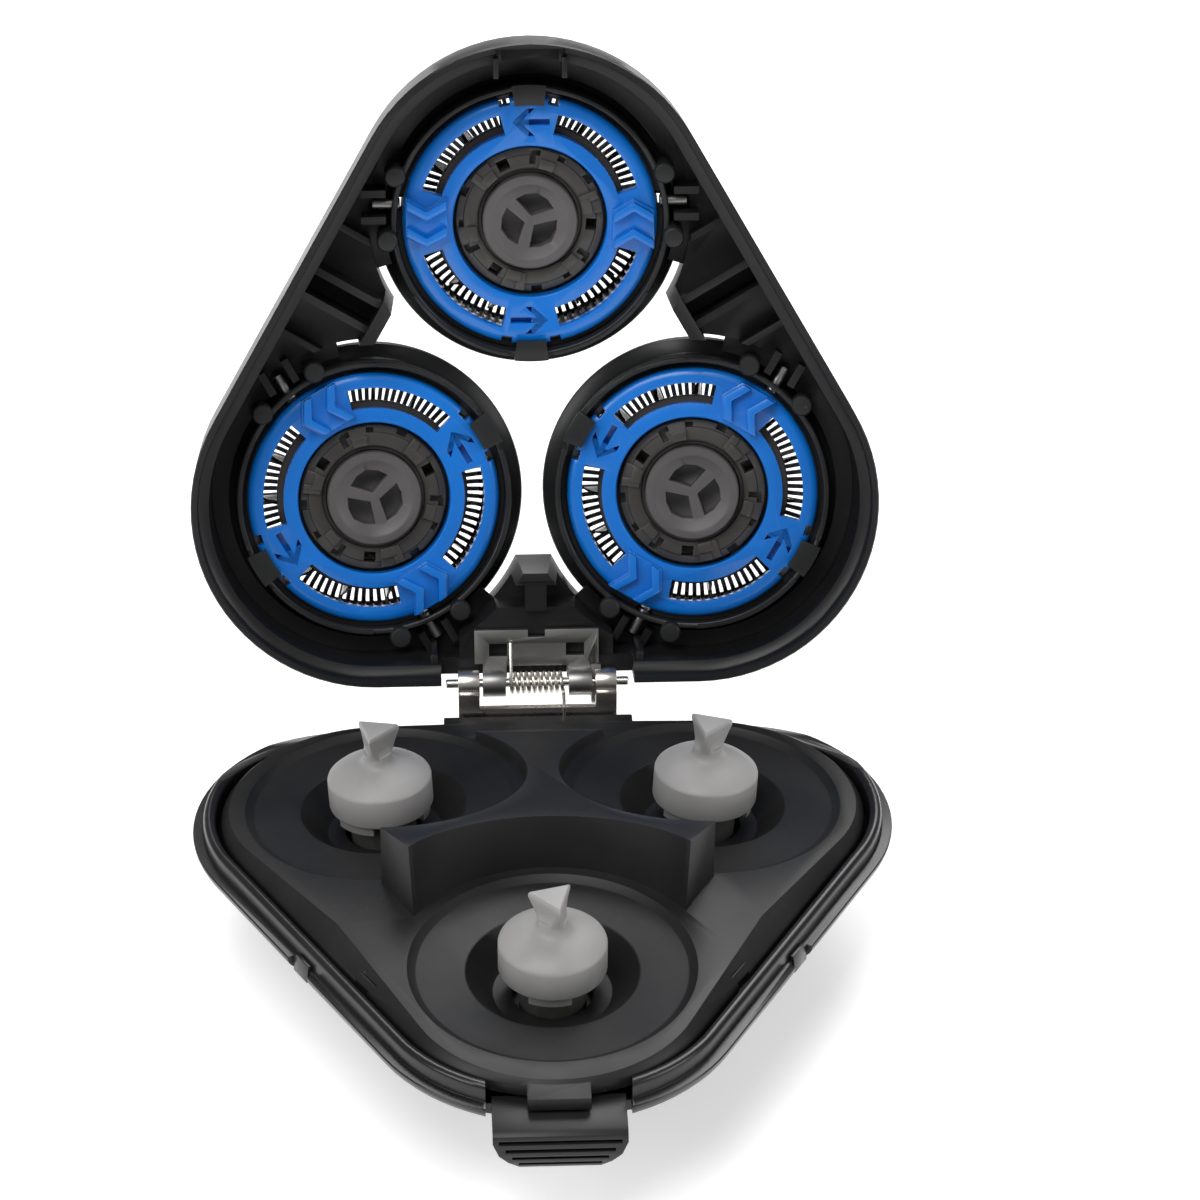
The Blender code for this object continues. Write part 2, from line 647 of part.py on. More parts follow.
def make_top_frame():
    frame = loft("top_frame", [
        outline(0, LID_EDGE_Z), outline(0, 20.8), outline(0.5, 22.8),
        outline(1.4, 24.4), outline(2.8, FRAME_TOP), outline(8.0, FRAME_TOP),
    ])
    room = loft("room", [
        outline(0.65, LID_EDGE_Z - 1), outline(0.65, 14.2), outline(FRAME_WALL, 14.5), outline(FRAME_WALL, FRAME_FLOOR),
    ])
    cut(frame, room)
    # webs keep their straight inner edges; the middle is open
    tri = [tuple(polar(2 * WEB_INNER, h) + Vector((0, OUTLINE_SHIFT, 0)))[:2] for h in HEADS]
    core = prism("core", tri, 10, 30)
    keep = loft("keep", [outline(FRAME_WALL, 9), outline(FRAME_WALL, 31)])
    combine(core, [keep], "INTERSECT")
    adds = []
    for side in SIDES:
        m = shift(0, OUTLINE_SHIFT) @ turn(side)
        adds.append(moved(box("edge", WEB_INNER, WEB_INNER + 1.2, -4, 4, 17.0, FRAME_FLOOR + 0.4), m))
        if side != 90.0:
            for s in (-1, 1):
                adds.append(moved(box("rib", WEB_INNER + 0.6, 24.4, s * 1.3 - 0.4, s * 1.3 + 0.4, 18.0, FRAME_FLOOR + 0.4), m))
    adds.append(box("seat", -7.2, 7.2, 18.6, 23.9, HINGE_Z + 1.66, FRAME_FLOOR + 0.4))
    adds.append(box("stem", -1.0, 1.0, 15.6, 18.8, 16.9, FRAME_FLOOR + 0.4))
    adds.append(box("bar", -2.5, 2.5, 15.0, 15.9, 16.6, FRAME_FLOOR + 0.4))
    fuse(frame, *adds)
    cut(frame, core)
    pods = [moved(rod("pod", POD_HOLE_R, -14, 12, 32), pod_matrix(h)) for h in HEADS]
    cut(frame, *pods)
    # lugs that hold the pivot pins
    lugs = []
    for head in HEADS:
        for s in (-1, 1):
            for t in (-1, 1):
                lug = box("lug", PIVOT_OUT + t * 1.25 - 0.35, PIVOT_OUT + t * 1.25 + 0.35, 13.3, 15.6, PIVOT_W - 1.6, PIVOT_W + 1.5)
                lugs.append(moved(lug, pod_matrix(head) @ (turn(180, "X") @ shift(0, 0, -2 * PIVOT_W) if s < 0 else Matrix())))
    # ledge behind each head's flange, lower where the flange sinks as the head tilts
    for head in HEADS:
        lugs.append(moved(sector("ledge", LEDGE_BORE, POD_HOLE_R + 0.7, -88.5, 88.5, 2.15, 2.65, 12), pod_matrix(head)))
        for a, b in ((-108, -87.5), (87.5, 108)):
            lugs.append(moved(sector("ledge", LEDGE_BORE, POD_HOLE_R + 0.7, a, b, 1.75, 2.25, 2), pod_matrix(head)))
    fuse(frame, *lugs)
    # hinge gap and catch pocket
    cut(frame,
        box("gap", -8.95, 8.95, HINGE_Y - 2.6, HINGE_Y + 4, 10, HINGE_Z + 1.6),
        box("catch", -2.6, 2.6, -33.9, -30, 10, 15.6),
        box("tongue_way", -3.15, 3.15, -33.95, -30, 10, 13.9))
    return frame


def make_pivot_pin(index, sign):
    pin = rod(f"head_pivot_pin_{index}", PIVOT_PIN_R, 12.0, 14.6, 8)
    return moved(pin, shift(PIVOT_OUT, 0, PIVOT_W) @ turn(-90 * sign, "X"))


def make_holder(index):
    cup = lathe(f"head_holder_{index}", [
        (CUP_BORE, -0.3), (CUP_R, -0.3), (CUP_R, 2.9), (FLANGE_R, 3.4), (FLANGE_R, 4.6), (CUP_BORE, 4.6),
    ], 24)
    tabs = [sector("tab", 11.2, CUP_R + 0.2, a - 7, a + 7, -1.0, -0.35, 1) for a in (0, 180)]
    walls = [sector("wall", CUP_BORE + 0.15, CUP_R + 0.1, a - 6, a + 6, -0.7, 0.2, 1) for a in (0, 180)]
    posts = []
    for sy in (-1, 1):
        for sx in (-1, 1):
            x = PIVOT_OUT + sx * POST_SPREAD
            y = sy * math.sqrt(POST_R_AT ** 2 - x * x)
            posts.append(moved(rod("post", 0.95, -1.4, 1.4, 8), shift(x, y)))
    fuse(cup, *walls, *tabs, *posts)
    holes = [moved(rod("eye", PIVOT_PIN_R + 0.35, 10, 16, 8), shift(PIVOT_OUT, 0, PIVOT_W) @ turn(90 * s, "X")) for s in (-1, 1)]
    return cut(cup, *holes)


def make_trim(index):
    return lathe(f"head_trim_{index}", [(12.55, 4.95), (FLANGE_R - 0.1, 4.95), (FLANGE_R - 0.3, 5.45), (12.55, 5.6)], 24)


def make_guard(index):
    guard = lathe(f"head_guard_{index}", [
        (0, 5.8), (7.2, 5.8), (7.7, 6.25), (11.35, 6.25), (11.35, 1.9), (12.0, 1.9), (12.0, 6.4), (11.4, 6.85),
        (7.9, 6.85), (7.2, 6.3), (0, 6.3),
    ], 24)
    slits = [moved(box("slit", 8.3, 10.9, -0.22, 0.22, 6.0, 8), turn(360 * k / SLITS)) for k in range(SLITS)]
    bundle = slits[0]
    bm = bmesh.new()
    for s in slits:
        bm.from_mesh(s.data)
    for s in slits[1:]:
        bpy.data.objects.remove(s, do_unlink=True)
    bm.to_mesh(bundle.data)
    bm.free()
    return cut(guard, bundle)


def make_carrier(index):
    body = lathe(f"head_cutter_carrier_{index}", [
        (0, 0.6), (2.75, 0.6), (3.5, -0.2), (COUPLING_R, -0.2), (COUPLING_R, 0.95), (HUB_R, 0.95), (HUB_R, 2.1),
        (8.9, 2.1), (8.9, 2.9), (0, 2.9),
    ], 21)
    cuts = []
    for k in range(3):
        # pocket for one prong, between the arms of the Y web
        pts = []
        for a, r in ((12, 2.55), (36, 2.55), (60, 2.6), (84, 2.55), (108, 2.55)):
            p = polar(r, 120 * k + a)
            pts.append((p.x, p.y))
        p = polar(0.36, 120 * k + 60)
        w = 0.3
        arm0, arm1 = polar(1, 120 * k), polar(1, 120 * k + 120)
        pts = [(x, y) for x, y in pts]
        base_pt = polar(w / math.sin(math.radians(60)), 120 * k + 60)
        pts.append((base_pt.x, base_pt.y))
        cuts.append(prism("pocket", pts, 0.0, 2.0))
        cuts.append(moved(box("square", 5.1, 6.1, -0.5, 0.5, 0, 4), turn(120 * k + 20)))
    return cut(body, *cuts)


def make_blades(index):
    ring = lathe(f"head_blades_{index}", [(7.7, 3.25), (8.9, 3.25), (8.9, 3.6), (7.7, 3.6)], 18)
    bm = bmesh.new()
    for k in range(BLADES):
        blade = moved(box("blade", 8.5, 10.4, -0.25, 0.25, 3.4, 5.9), turn(360 * (k + 0.5) / BLADES))
        bm.from_mesh(blade.data)
        gone = blade.data
        bpy.data.objects.remove(blade, do_unlink=True)
        bpy.data.meshes.remove(gone)
    teeth = finish_mesh("teeth", bm)
    return fuse(ring, teeth)


def make_ring(index):
    ring = lathe(f"head_ring_{index}", [
        (RING_BORE, 0.0), (RING_R - 0.3, 0.0), (RING_R, 0.3), (RING_R, RING_THICK), (RING_BORE, RING_THICK),
    ], 24)
    cut(ring, *[sector("slot", 8.5, 10.4, a, b, -1, 3, 4) for a, b in ((17, 71), (109, 163), (197, 251), (289, 343))])
    handles = []
    for a in (90, 270):
        handles.append(moved(box("handle", 7.7, 10.9, -2.2, 2.2, -1.1, 0.3), turn(a)))
    return fuse(ring, *handles)


# ---------------------------------------------------------------- assembly

def put(obj, matrix, slot, pivot=(0, 0, 0)):
    """Place a piece; its origin goes to the pivot, given in the piece's own frame."""
    obj.data.transform(scaled(shift(*(-Vector(pivot)))))
    obj.matrix_world = scaled(matrix @ shift(*pivot))
    return paint(obj, slot)


def build_base():
    stay = Matrix()
    put(make_base_shell(), stay, "black_plastic")
    put(make_drive_tray(), stay, "tray_plastic")
    put(make_central_gear(), stay, "gear_plastic")
    put(make_drive_bearing(), stay, "satin_steel")
    put(make_release_button(), stay, "black_plastic")
    put(make_latch_spring(), stay, "bright_steel")
    for i, head in enumerate(HEADS, 1):
        at = driver_matrix(head)
        put(make_planet_gear(i, head), at, "gear_plastic")
        put(make_gear_axle(i), at, "satin_steel")
        put(make_driver(i), at @ turn(DRIVE_PHASE[i - 1]), "grey_plastic")
        put(make_spindle_spring(i), at, "bright_steel")
    for i, side in enumerate(SIDES, 1):
        p = polar(SCREW_AT, side)
        put(make_tray_screw(i), shift(p.x, p.y), "satin_steel")


def build_hinge():
    put(make_hinge_bracket_lower(), Matrix(), "bright_steel")
    put(make_hinge_pin(), Matrix(), "bright_steel")
    put(make_hinge_spring(), Matrix(), "bright_steel")
    put(make_hinge_bracket_upper(), open_matrix(), "satin_steel", (0, HINGE_Y, HINGE_Z))


def build_lid():
    lid = open_matrix()
    hinge = Vector((0, HINGE_Y, HINGE_Z))
    tilt = (PIVOT_OUT, 0, PIVOT_W)
    put(make_top_frame(), lid, "black_plastic", hinge)
    makers = (
        (make_holder, "holder_plastic", tilt), (make_trim, "chrome", tilt), (make_guard, "blade_steel", tilt),
        (make_carrier, "carrier_plastic", (0, 0, 0)), (make_blades, "blade_steel", (0, 0, 0)),
        (make_ring, "blue_plastic", (0, 0, 0)),
    )
    for make, slot, pivot in makers:
        first = make(1)
        stem = first.name[:-2]
        spins = make in (make_carrier, make_blades)
        places = [lid @ pod_matrix(h) @ turn(phase if spins else 0.0) for h, phase in zip(HEADS, DRIVE_PHASE)]
        for i in (2, 3):
            put(copy_of(first, f"{stem}_{i}"), places[i - 1], slot, pivot)
        put(first, places[0], slot, pivot)
    for i, head in enumerate(HEADS):
        pod = pod_matrix(head)
        for k, sign in enumerate((1, -1)):
            put(make_pivot_pin(2 * i + k + 1, sign), lid @ pod, "satin_steel", pod.inverted() @ hinge)


def stand_on_origin():
    """Move everything so that the bottom centre of the whole is the origin."""
    bpy.context.view_layer.update()
    low = Vector((1e9, 1e9, 1e9))
    high = -low
    for obj in bpy.data.objects:
        if obj.type != "MESH":
            continue
        for v in obj.data.vertices:
            p = obj.matrix_world @ v.co
            for k in range(3):
                low[k], high[k] = min(low[k], p[k]), max(high[k], p[k])
    offset = Matrix.Translation(Vector((-(low.x + high.x) / 2, -(low.y + high.y) / 2, -low.z)))
    for obj in bpy.data.objects:
        if obj.type == "MESH":
            obj.matrix_world = offset @ obj.matrix_world


def main():
    for obj in list(bpy.data.objects):
        bpy.data.objects.remove(obj, do_unlink=True)
    build_base()
    build_hinge()
    build_lid()
    stand_on_origin()


main()
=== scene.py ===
"""Three-head rotary shaving unit, unfolded on its hinge.

Each sub-assembly is a class that holds its sizes and builds, dresses and mounts its pieces.
Shapes are drawn in millimetres in the frame of the base, whose origin lies between the three
drivers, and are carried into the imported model's frame, in metres, when they are mounted.
"""

from __future__ import annotations

import json
import logging
import math
from dataclasses import dataclass
from enum import Enum
from typing import Callable, ClassVar, Iterable, Sequence

import bmesh
import bpy
from mathutils import Matrix, Vector

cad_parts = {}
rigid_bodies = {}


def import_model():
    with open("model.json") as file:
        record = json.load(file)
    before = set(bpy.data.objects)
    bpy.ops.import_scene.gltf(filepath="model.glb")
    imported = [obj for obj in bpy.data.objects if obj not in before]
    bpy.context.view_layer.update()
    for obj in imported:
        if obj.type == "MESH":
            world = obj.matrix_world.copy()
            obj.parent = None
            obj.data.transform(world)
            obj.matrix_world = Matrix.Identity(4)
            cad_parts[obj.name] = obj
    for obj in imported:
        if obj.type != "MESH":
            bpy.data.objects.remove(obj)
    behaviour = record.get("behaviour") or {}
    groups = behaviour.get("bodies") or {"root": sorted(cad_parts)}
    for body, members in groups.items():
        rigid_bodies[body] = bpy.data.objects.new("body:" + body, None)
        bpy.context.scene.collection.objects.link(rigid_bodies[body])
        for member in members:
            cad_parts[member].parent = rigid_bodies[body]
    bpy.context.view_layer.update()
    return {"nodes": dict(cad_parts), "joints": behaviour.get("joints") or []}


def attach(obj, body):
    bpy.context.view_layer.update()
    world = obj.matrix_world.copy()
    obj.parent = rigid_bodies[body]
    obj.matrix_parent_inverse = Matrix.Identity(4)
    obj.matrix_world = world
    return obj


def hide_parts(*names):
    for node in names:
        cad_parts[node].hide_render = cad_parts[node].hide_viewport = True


LOG = logging.getLogger("shaving_unit")
MM = 0.001
WELD = 1e-4              # points nearer than this are one, in millimetres
COIL_STEPS = 28          # facets in each turn of a coil
WIRE_STEPS = 10          # facets round a coil's wire
Point = Sequence[float]


def clear_scene() -> None:
    """Remove whatever the new file holds."""
    for obj in list(bpy.data.objects):
        bpy.data.objects.remove(obj, do_unlink=True)


clear_scene()
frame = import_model()


# ------------------------------------------------------------------ small maths

def polar(r: float, deg: float, z: float = 0.0) -> Vector:
    """Point at radius r and angle deg about Z."""
    a = math.radians(deg)
    return Vector((r * math.cos(a), r * math.sin(a), z))


def turn(deg: float, axis: str = "Z") -> Matrix:
    """Rotation about an axis, in degrees."""
    return Matrix.Rotation(math.radians(deg), 4, axis)


def shift(x: float = 0.0, y: float = 0.0, z: float = 0.0) -> Matrix:
    """Translation."""
    return Matrix.Translation(Vector((x, y, z)))


# ------------------------------------------------------------------ shapes

class Mode(Enum):
    """How one shape is combined with another."""

    CUT = "DIFFERENCE"
    FUSE = "UNION"
    KEEP = "INTERSECT"


class Shape:
    """A mesh object that is being made, with its place in its mesh."""

    def __init__(self, obj: bpy.types.Object) -> None:
        """Wrap a mesh object."""
        self.obj = obj

    @classmethod
    def from_bmesh(cls, name: str, bm: bmesh.types.BMesh) -> "Shape":
        """Turn a bmesh into an object whose faces point outwards.

        Args:
            name: name of the object.
            bm: closed mesh; it is freed.

        Returns:
            The new shape.
        """
        bmesh.ops.remove_doubles(bm, verts=bm.verts, dist=WELD)
        bmesh.ops.recalc_face_normals(bm, faces=bm.faces)
        mesh = bpy.data.meshes.new(name)
        bm.to_mesh(mesh)
        bm.free()
        obj = bpy.data.objects.new(name, mesh)
        bpy.context.scene.collection.objects.link(obj)
        return cls(obj)

    @classmethod
    def loft(cls, name: str, rings: Sequence[Sequence[Point]]) -> "Shape":
        """Closed solid through rings of equal length.

        Args:
            name: name of the object.
            rings: rows of points; the first and last are capped.

        Returns:
            The new shape.
        """
        bm = bmesh.new()
        rows = [[bm.verts.new(Vector(p)) for p in ring] for ring in rings]
        n = len(rows[0])
        for low, high in zip(rows, rows[1:]):
            for i in range(n):
                j = (i + 1) % n
                bm.faces.new((low[i], low[j], high[j], high[i]))
        bm.faces.new(list(reversed(rows[0])))
        bm.faces.new(rows[-1])
        return cls.from_bmesh(name, bm)

    @classmethod
    def lathe(cls, name: str, profile: Sequence[Point], steps: int = 72) -> "Shape":
        """Turn a closed (r, z) profile about Z.

        Args:
            name: name of the object.
            profile: closed outline; points at r = 0 become poles.
            steps: facets round the axis.

        Returns:
            The new shape.
        """
        bm = bmesh.new()
        rows = []
        for r, z in profile:
            if r < 1e-6:
                rows.append([bm.verts.new((0, 0, z))] * steps)
            else:
                rows.append([bm.verts.new(polar(r, 360 * k / steps, z)) for k in range(steps)])
        for a, low in enumerate(rows):
            high = rows[(a + 1) % len(rows)]
            if low[0] is low[1] and high[0] is high[1]:
                continue
            for i in range(steps):
                j = (i + 1) % steps
                bm.faces.new(list(dict.fromkeys((low[i], low[j], high[j], high[i]))))
        return cls.from_bmesh(name, bm)

    @classmethod
    def prism(cls, name: str, points: Sequence[Point], z0: float, z1: float) -> "Shape":
        """Straight solid over a flat outline."""
        return cls.loft(name, [[(p[0], p[1], z0) for p in points], [(p[0], p[1], z1) for p in points]])

    @classmethod
    def box(cls, name: str, x: Point, y: Point, z: Point) -> "Shape":
        """Block between two values on each axis."""
        pts = [(x[0], y[0]), (x[1], y[0]), (x[1], y[1]), (x[0], y[1])]
        return cls.prism(name, pts, z[0], z[1])

    @classmethod
    def rod(cls, name: str, r: float, z0: float, z1: float, steps: int = 48,
            chamfer: float = 0.0) -> "Shape":
        """Round bar along Z, with chamfered ends.

        Args:
            name: name of the object.
            r: radius.
            z0: low end.
            z1: high end.
            steps: facets round the axis.
            chamfer: size of the chamfer at both ends.

        Returns:
            The new shape.
        """
        c = chamfer
        if c:
            prof = [(0, z0), (r - c, z0), (r, z0 + c), (r, z1 - c), (r - c, z1), (0, z1)]
        else:
            prof = [(0, z0), (r, z0), (r, z1), (0, z1)]
        return cls.lathe(name, prof, steps)

    @classmethod
    def sector(cls, name: str, radii: Point, angles: Point, z: Point, steps: int = 24) -> "Shape":
        """Part of a ring.

        Args:
            name: name of the object.
            radii: inner and outer radius.
            angles: first and last angle, degrees.
            z: low and high level.
            steps: facets along the arc.

        Returns:
            The new shape.
        """
        a0, a1 = angles
        arc = [a0 + (a1 - a0) * k / steps for k in range(steps + 1)]
        pts = [polar(radii[0], a) for a in arc] + [polar(radii[1], a) for a in reversed(arc)]
        return cls.prism(name, pts, z[0], z[1])

    @classmethod
    def tube(cls, name: str, points: Sequence[Point], r: float, steps: int = 10) -> "Shape":
        """Round wire along a path.

        Args:
            name: name of the object.
            points: centre line.
            r: radius of the wire.
            steps: facets round the wire.

        Returns:
            The new shape.
        """
        pts = [Vector(p) for p in points]
        rings, side = [], None
        for i, p in enumerate(pts):
            ahead = (pts[min(i + 1, len(pts) - 1)] - pts[max(i - 1, 0)]).normalized()
            side = ahead.orthogonal() if side is None else side
            side = (side - ahead * side.dot(ahead)).normalized()
            up = ahead.cross(side)
            ring = []
            for k in range(steps):
                c = polar(r, 360 * k / steps)
                ring.append(p + side * c.x + up * c.y)
            rings.append(ring)
        return cls.loft(name, rings)

    def move(self, matrix: Matrix) -> "Shape":
        """Move the mesh by a matrix."""
        self.obj.data.transform(matrix)
        return self

    def combine(self, tools: Iterable["Shape"], mode: Mode) -> "Shape":
        """Combine with other shapes, which are used up.

        Args:
            tools: the other shapes.
            mode: cut, fuse or keep.

        Returns:
            This shape.
        """
        for tool in tools:
            mod = self.obj.modifiers.new("bool", "BOOLEAN")
            mod.operation, mod.solver, mod.object = mode.value, "EXACT", tool.obj
            self.settle()
            tool.drop()
        return self

    def cut(self, *tools: "Shape") -> "Shape":
        """Take shapes away."""
        return self.combine(tools, Mode.CUT)

    def fuse(self, *tools: "Shape") -> "Shape":
        """Add shapes as one solid."""
        return self.combine(tools, Mode.FUSE)

    def join(self, *others: "Shape") -> "Shape":
        """Add shapes as they are, which are used up."""
        bm = bmesh.new()
        bm.from_mesh(self.obj.data)
        for other in others:
            bm.from_mesh(other.obj.data)
            other.drop()
        bm.to_mesh(self.obj.data)
        bm.free()
        return self

    def settle(self) -> "Shape":
        """Turn the modifiers' result into the plain mesh."""
        graph = bpy.context.evaluated_depsgraph_get()
        graph.update()
        mesh = bpy.data.meshes.new_from_object(self.obj.evaluated_get(graph), depsgraph=graph)
        self.obj.modifiers.clear()
        old, self.obj.data = self.obj.data, mesh
        bpy.data.meshes.remove(old)
        return self

    def bevel(self, width: float, segments: int = 2, angle: float = 38.0) -> "Shape":
        """Round the edges.

        Args:
            width: width of the rounding.
            segments: facets across it.
            angle: edges sharper than this are rounded, degrees.

        Returns:
            This shape.
        """
        bm = bmesh.new()
        bm.from_mesh(self.obj.data)
        bmesh.ops.remove_doubles(bm, verts=bm.verts, dist=2e-3)
        bmesh.ops.dissolve_limit(bm, angle_limit=math.radians(0.4), verts=bm.verts, edges=bm.edges)
        bm.to_mesh(self.obj.data)
        bm.free()
        mod = self.obj.modifiers.new("bevel", "BEVEL")
        mod.width, mod.segments, mod.limit_method = width, segments, "ANGLE"
        mod.angle_limit = math.radians(angle)
        mod.miter_outer = "MITER_ARC"
        return self.settle()

    def copy(self, name: str) -> "Shape":
        """A twin with its own mesh."""
        twin = bpy.data.objects.new(name, self.obj.data.copy())
        bpy.context.scene.collection.objects.link(twin)
        return Shape(twin)

    def drop(self) -> None:
        """Delete the object and its mesh."""
        mesh = self.obj.data
        bpy.data.objects.remove(self.obj, do_unlink=True)
        bpy.data.meshes.remove(mesh)


# ------------------------------------------------------------------ node trees

class Tree:
    """Short hand for building a node tree."""

    def __init__(self, name: str, kind: str) -> None:
        """Start a tree of the given kind."""
        self.tree = bpy.data.node_groups.new(name, kind)

    def socket(self, name: str, kind: str, output: bool = False, value: object = None) -> None:
        """Add a named socket.

        Args:
            name: name of the socket.
            kind: socket type.
            output: whether it is an output.
            value: default value.
        """
        side = "OUTPUT" if output else "INPUT"
        item = self.tree.interface.new_socket(name, in_out=side, socket_type=kind)
        if value is not None:
            item.default_value = value

    def add(self, kind: str, **settings: object) -> bpy.types.Node:
        """Add a node and set its properties."""
        return add_node(self.tree, kind, **settings)

    def link(self, a: bpy.types.NodeSocket, b: bpy.types.NodeSocket) -> None:
        """Join two sockets."""
        self.tree.links.new(a, b)


def add_node(tree: bpy.types.NodeTree, kind: str, **settings: object) -> bpy.types.Node:
    """Add a node; a setting named after an input sets that input.

    Args:
        tree: tree to add to.
        kind: node type.
        settings: properties, or input values by name with spaces as underscores.

    Returns:
        The node.
    """
    node = tree.nodes.new(kind)
    for key, value in settings.items():
        label = key.replace("_", " ")
        if hasattr(node, key):
            setattr(node, key, value)
        else:
            node.inputs[label].default_value = value
    return node


def map_range(tree: bpy.types.NodeTree, source: bpy.types.NodeSocket, span: Point,
              to: Point = (0.0, 1.0)) -> bpy.types.Node:
    """Add a clamped Map Range node.

    Args:
        tree: tree to add to.
        source: value that it maps.
        span: values that become the two ends.
        to: the two ends.

    Returns:
        The node.
    """
    node = add_node(tree, "ShaderNodeMapRange", clamp=True)
    node.inputs["From Min"].default_value, node.inputs["From Max"].default_value = span
    node.inputs["To Min"].default_value, node.inputs["To Max"].default_value = to
    tree.links.new(source, node.inputs["Value"])
    return node


class Repeaters:
    """Geometry Nodes trees that repeat or sweep shapes, built once."""

    def __init__(self) -> None:
        """Build the trees."""
        self.ring = self._ring_tree()
        self.coil = self._coil_tree()

    @staticmethod
    def _finish(t: Tree, gin: bpy.types.Node, result: bpy.types.NodeSocket) -> bpy.types.NodeTree:
        """Realise the copies, give them their material and end the tree.

        Args:
            t: tree that is being built.
            gin: its input node.
            result: geometry to hand on.

        Returns:
            The finished tree.
        """
        real = t.add("GeometryNodeRealizeInstances")
        paint = t.add("GeometryNodeSetMaterial")
        t.link(result, real.inputs[0])
        t.link(real.outputs[0], paint.inputs["Geometry"])
        t.link(gin.outputs["Material"], paint.inputs["Material"])
        t.link(paint.outputs[0], t.add("NodeGroupOutput").inputs[0])
        return t.tree

    @classmethod
    def _ring_tree(cls) -> bpy.types.NodeTree:
        """Copies of the input turned about Z."""
        t = Tree("repeat_round_axis", "GeometryNodeTree")
        t.socket("Geometry", "NodeSocketGeometry", output=True)
        t.socket("Geometry", "NodeSocketGeometry")
        t.socket("Count", "NodeSocketInt", value=12)
        t.socket("Start", "NodeSocketFloat", value=0.0)
        t.socket("Material", "NodeSocketMaterial")
        gin = t.add("NodeGroupInput")
        points = t.add("GeometryNodePoints")
        index = t.add("GeometryNodeInputIndex")
        step = t.add("ShaderNodeMath", operation="DIVIDE")
        step.inputs[0].default_value = 2 * math.pi
        angle = t.add("ShaderNodeMath", operation="MULTIPLY_ADD")
        vector = t.add("ShaderNodeCombineXYZ")
        inst = t.add("GeometryNodeInstanceOnPoints")
        t.link(gin.outputs["Count"], points.inputs["Count"])
        t.link(gin.outputs["Count"], step.inputs[1])
        t.link(index.outputs[0], angle.inputs[0])
        t.link(step.outputs[0], angle.inputs[1])
        t.link(gin.outputs["Start"], angle.inputs[2])
        t.link(angle.outputs[0], vector.inputs["Z"])
        t.link(points.outputs[0], inst.inputs["Points"])
        t.link(gin.outputs["Geometry"], inst.inputs["Instance"])
        t.link(vector.outputs[0], inst.inputs["Rotation"])
        return cls._finish(t, gin, inst.outputs[0])

    @classmethod
    def _coil_tree(cls) -> bpy.types.NodeTree:
        """A round wire wound about Z."""
        t = Tree("wound_wire", "GeometryNodeTree")
        t.socket("Geometry", "NodeSocketGeometry", output=True)
        t.socket("Geometry", "NodeSocketGeometry")
        for name, value in (("Turns", 6.0), ("Radius", 1.0), ("Height", 3.0), ("Wire", 0.2)):
            t.socket(name, "NodeSocketFloat", value=value)
        t.socket("Material", "NodeSocketMaterial")
        gin = t.add("NodeGroupInput")
        spiral = t.add("GeometryNodeCurveSpiral")
        spiral.inputs["Resolution"].default_value = COIL_STEPS
        circle = t.add("GeometryNodeCurvePrimitiveCircle")
        circle.inputs["Resolution"].default_value = WIRE_STEPS
        sweep = t.add("GeometryNodeCurveToMesh")
        sweep.inputs["Fill Caps"].default_value = True
        t.link(gin.outputs["Turns"], spiral.inputs["Rotations"])
        t.link(gin.outputs["Radius"], spiral.inputs["Start Radius"])
        t.link(gin.outputs["Radius"], spiral.inputs["End Radius"])
        t.link(gin.outputs["Height"], spiral.inputs["Height"])
        t.link(gin.outputs["Wire"], circle.inputs["Radius"])
        t.link(spiral.outputs[0], sweep.inputs["Curve"])
        t.link(circle.outputs[0], sweep.inputs["Profile Curve"])
        return cls._finish(t, gin, sweep.outputs[0])

    @staticmethod
    def apply(shape: Shape, tree: bpy.types.NodeTree, **values: object) -> Shape:
        """Run a tree on a shape and keep the plain result.

        Args:
            shape: input shape.
            tree: tree to run.
            values: input values by name.

        Returns:
            The shape with its new mesh.
        """
        mod = shape.obj.modifiers.new("repeat", "NODES")
        mod.node_group = tree
        for item in tree.interface.items_tree:
            if item.in_out == "INPUT" and item.name in values:
                mod[item.identifier] = values[item.name]
        return shape.settle()


# ------------------------------------------------------------------ shared shader groups

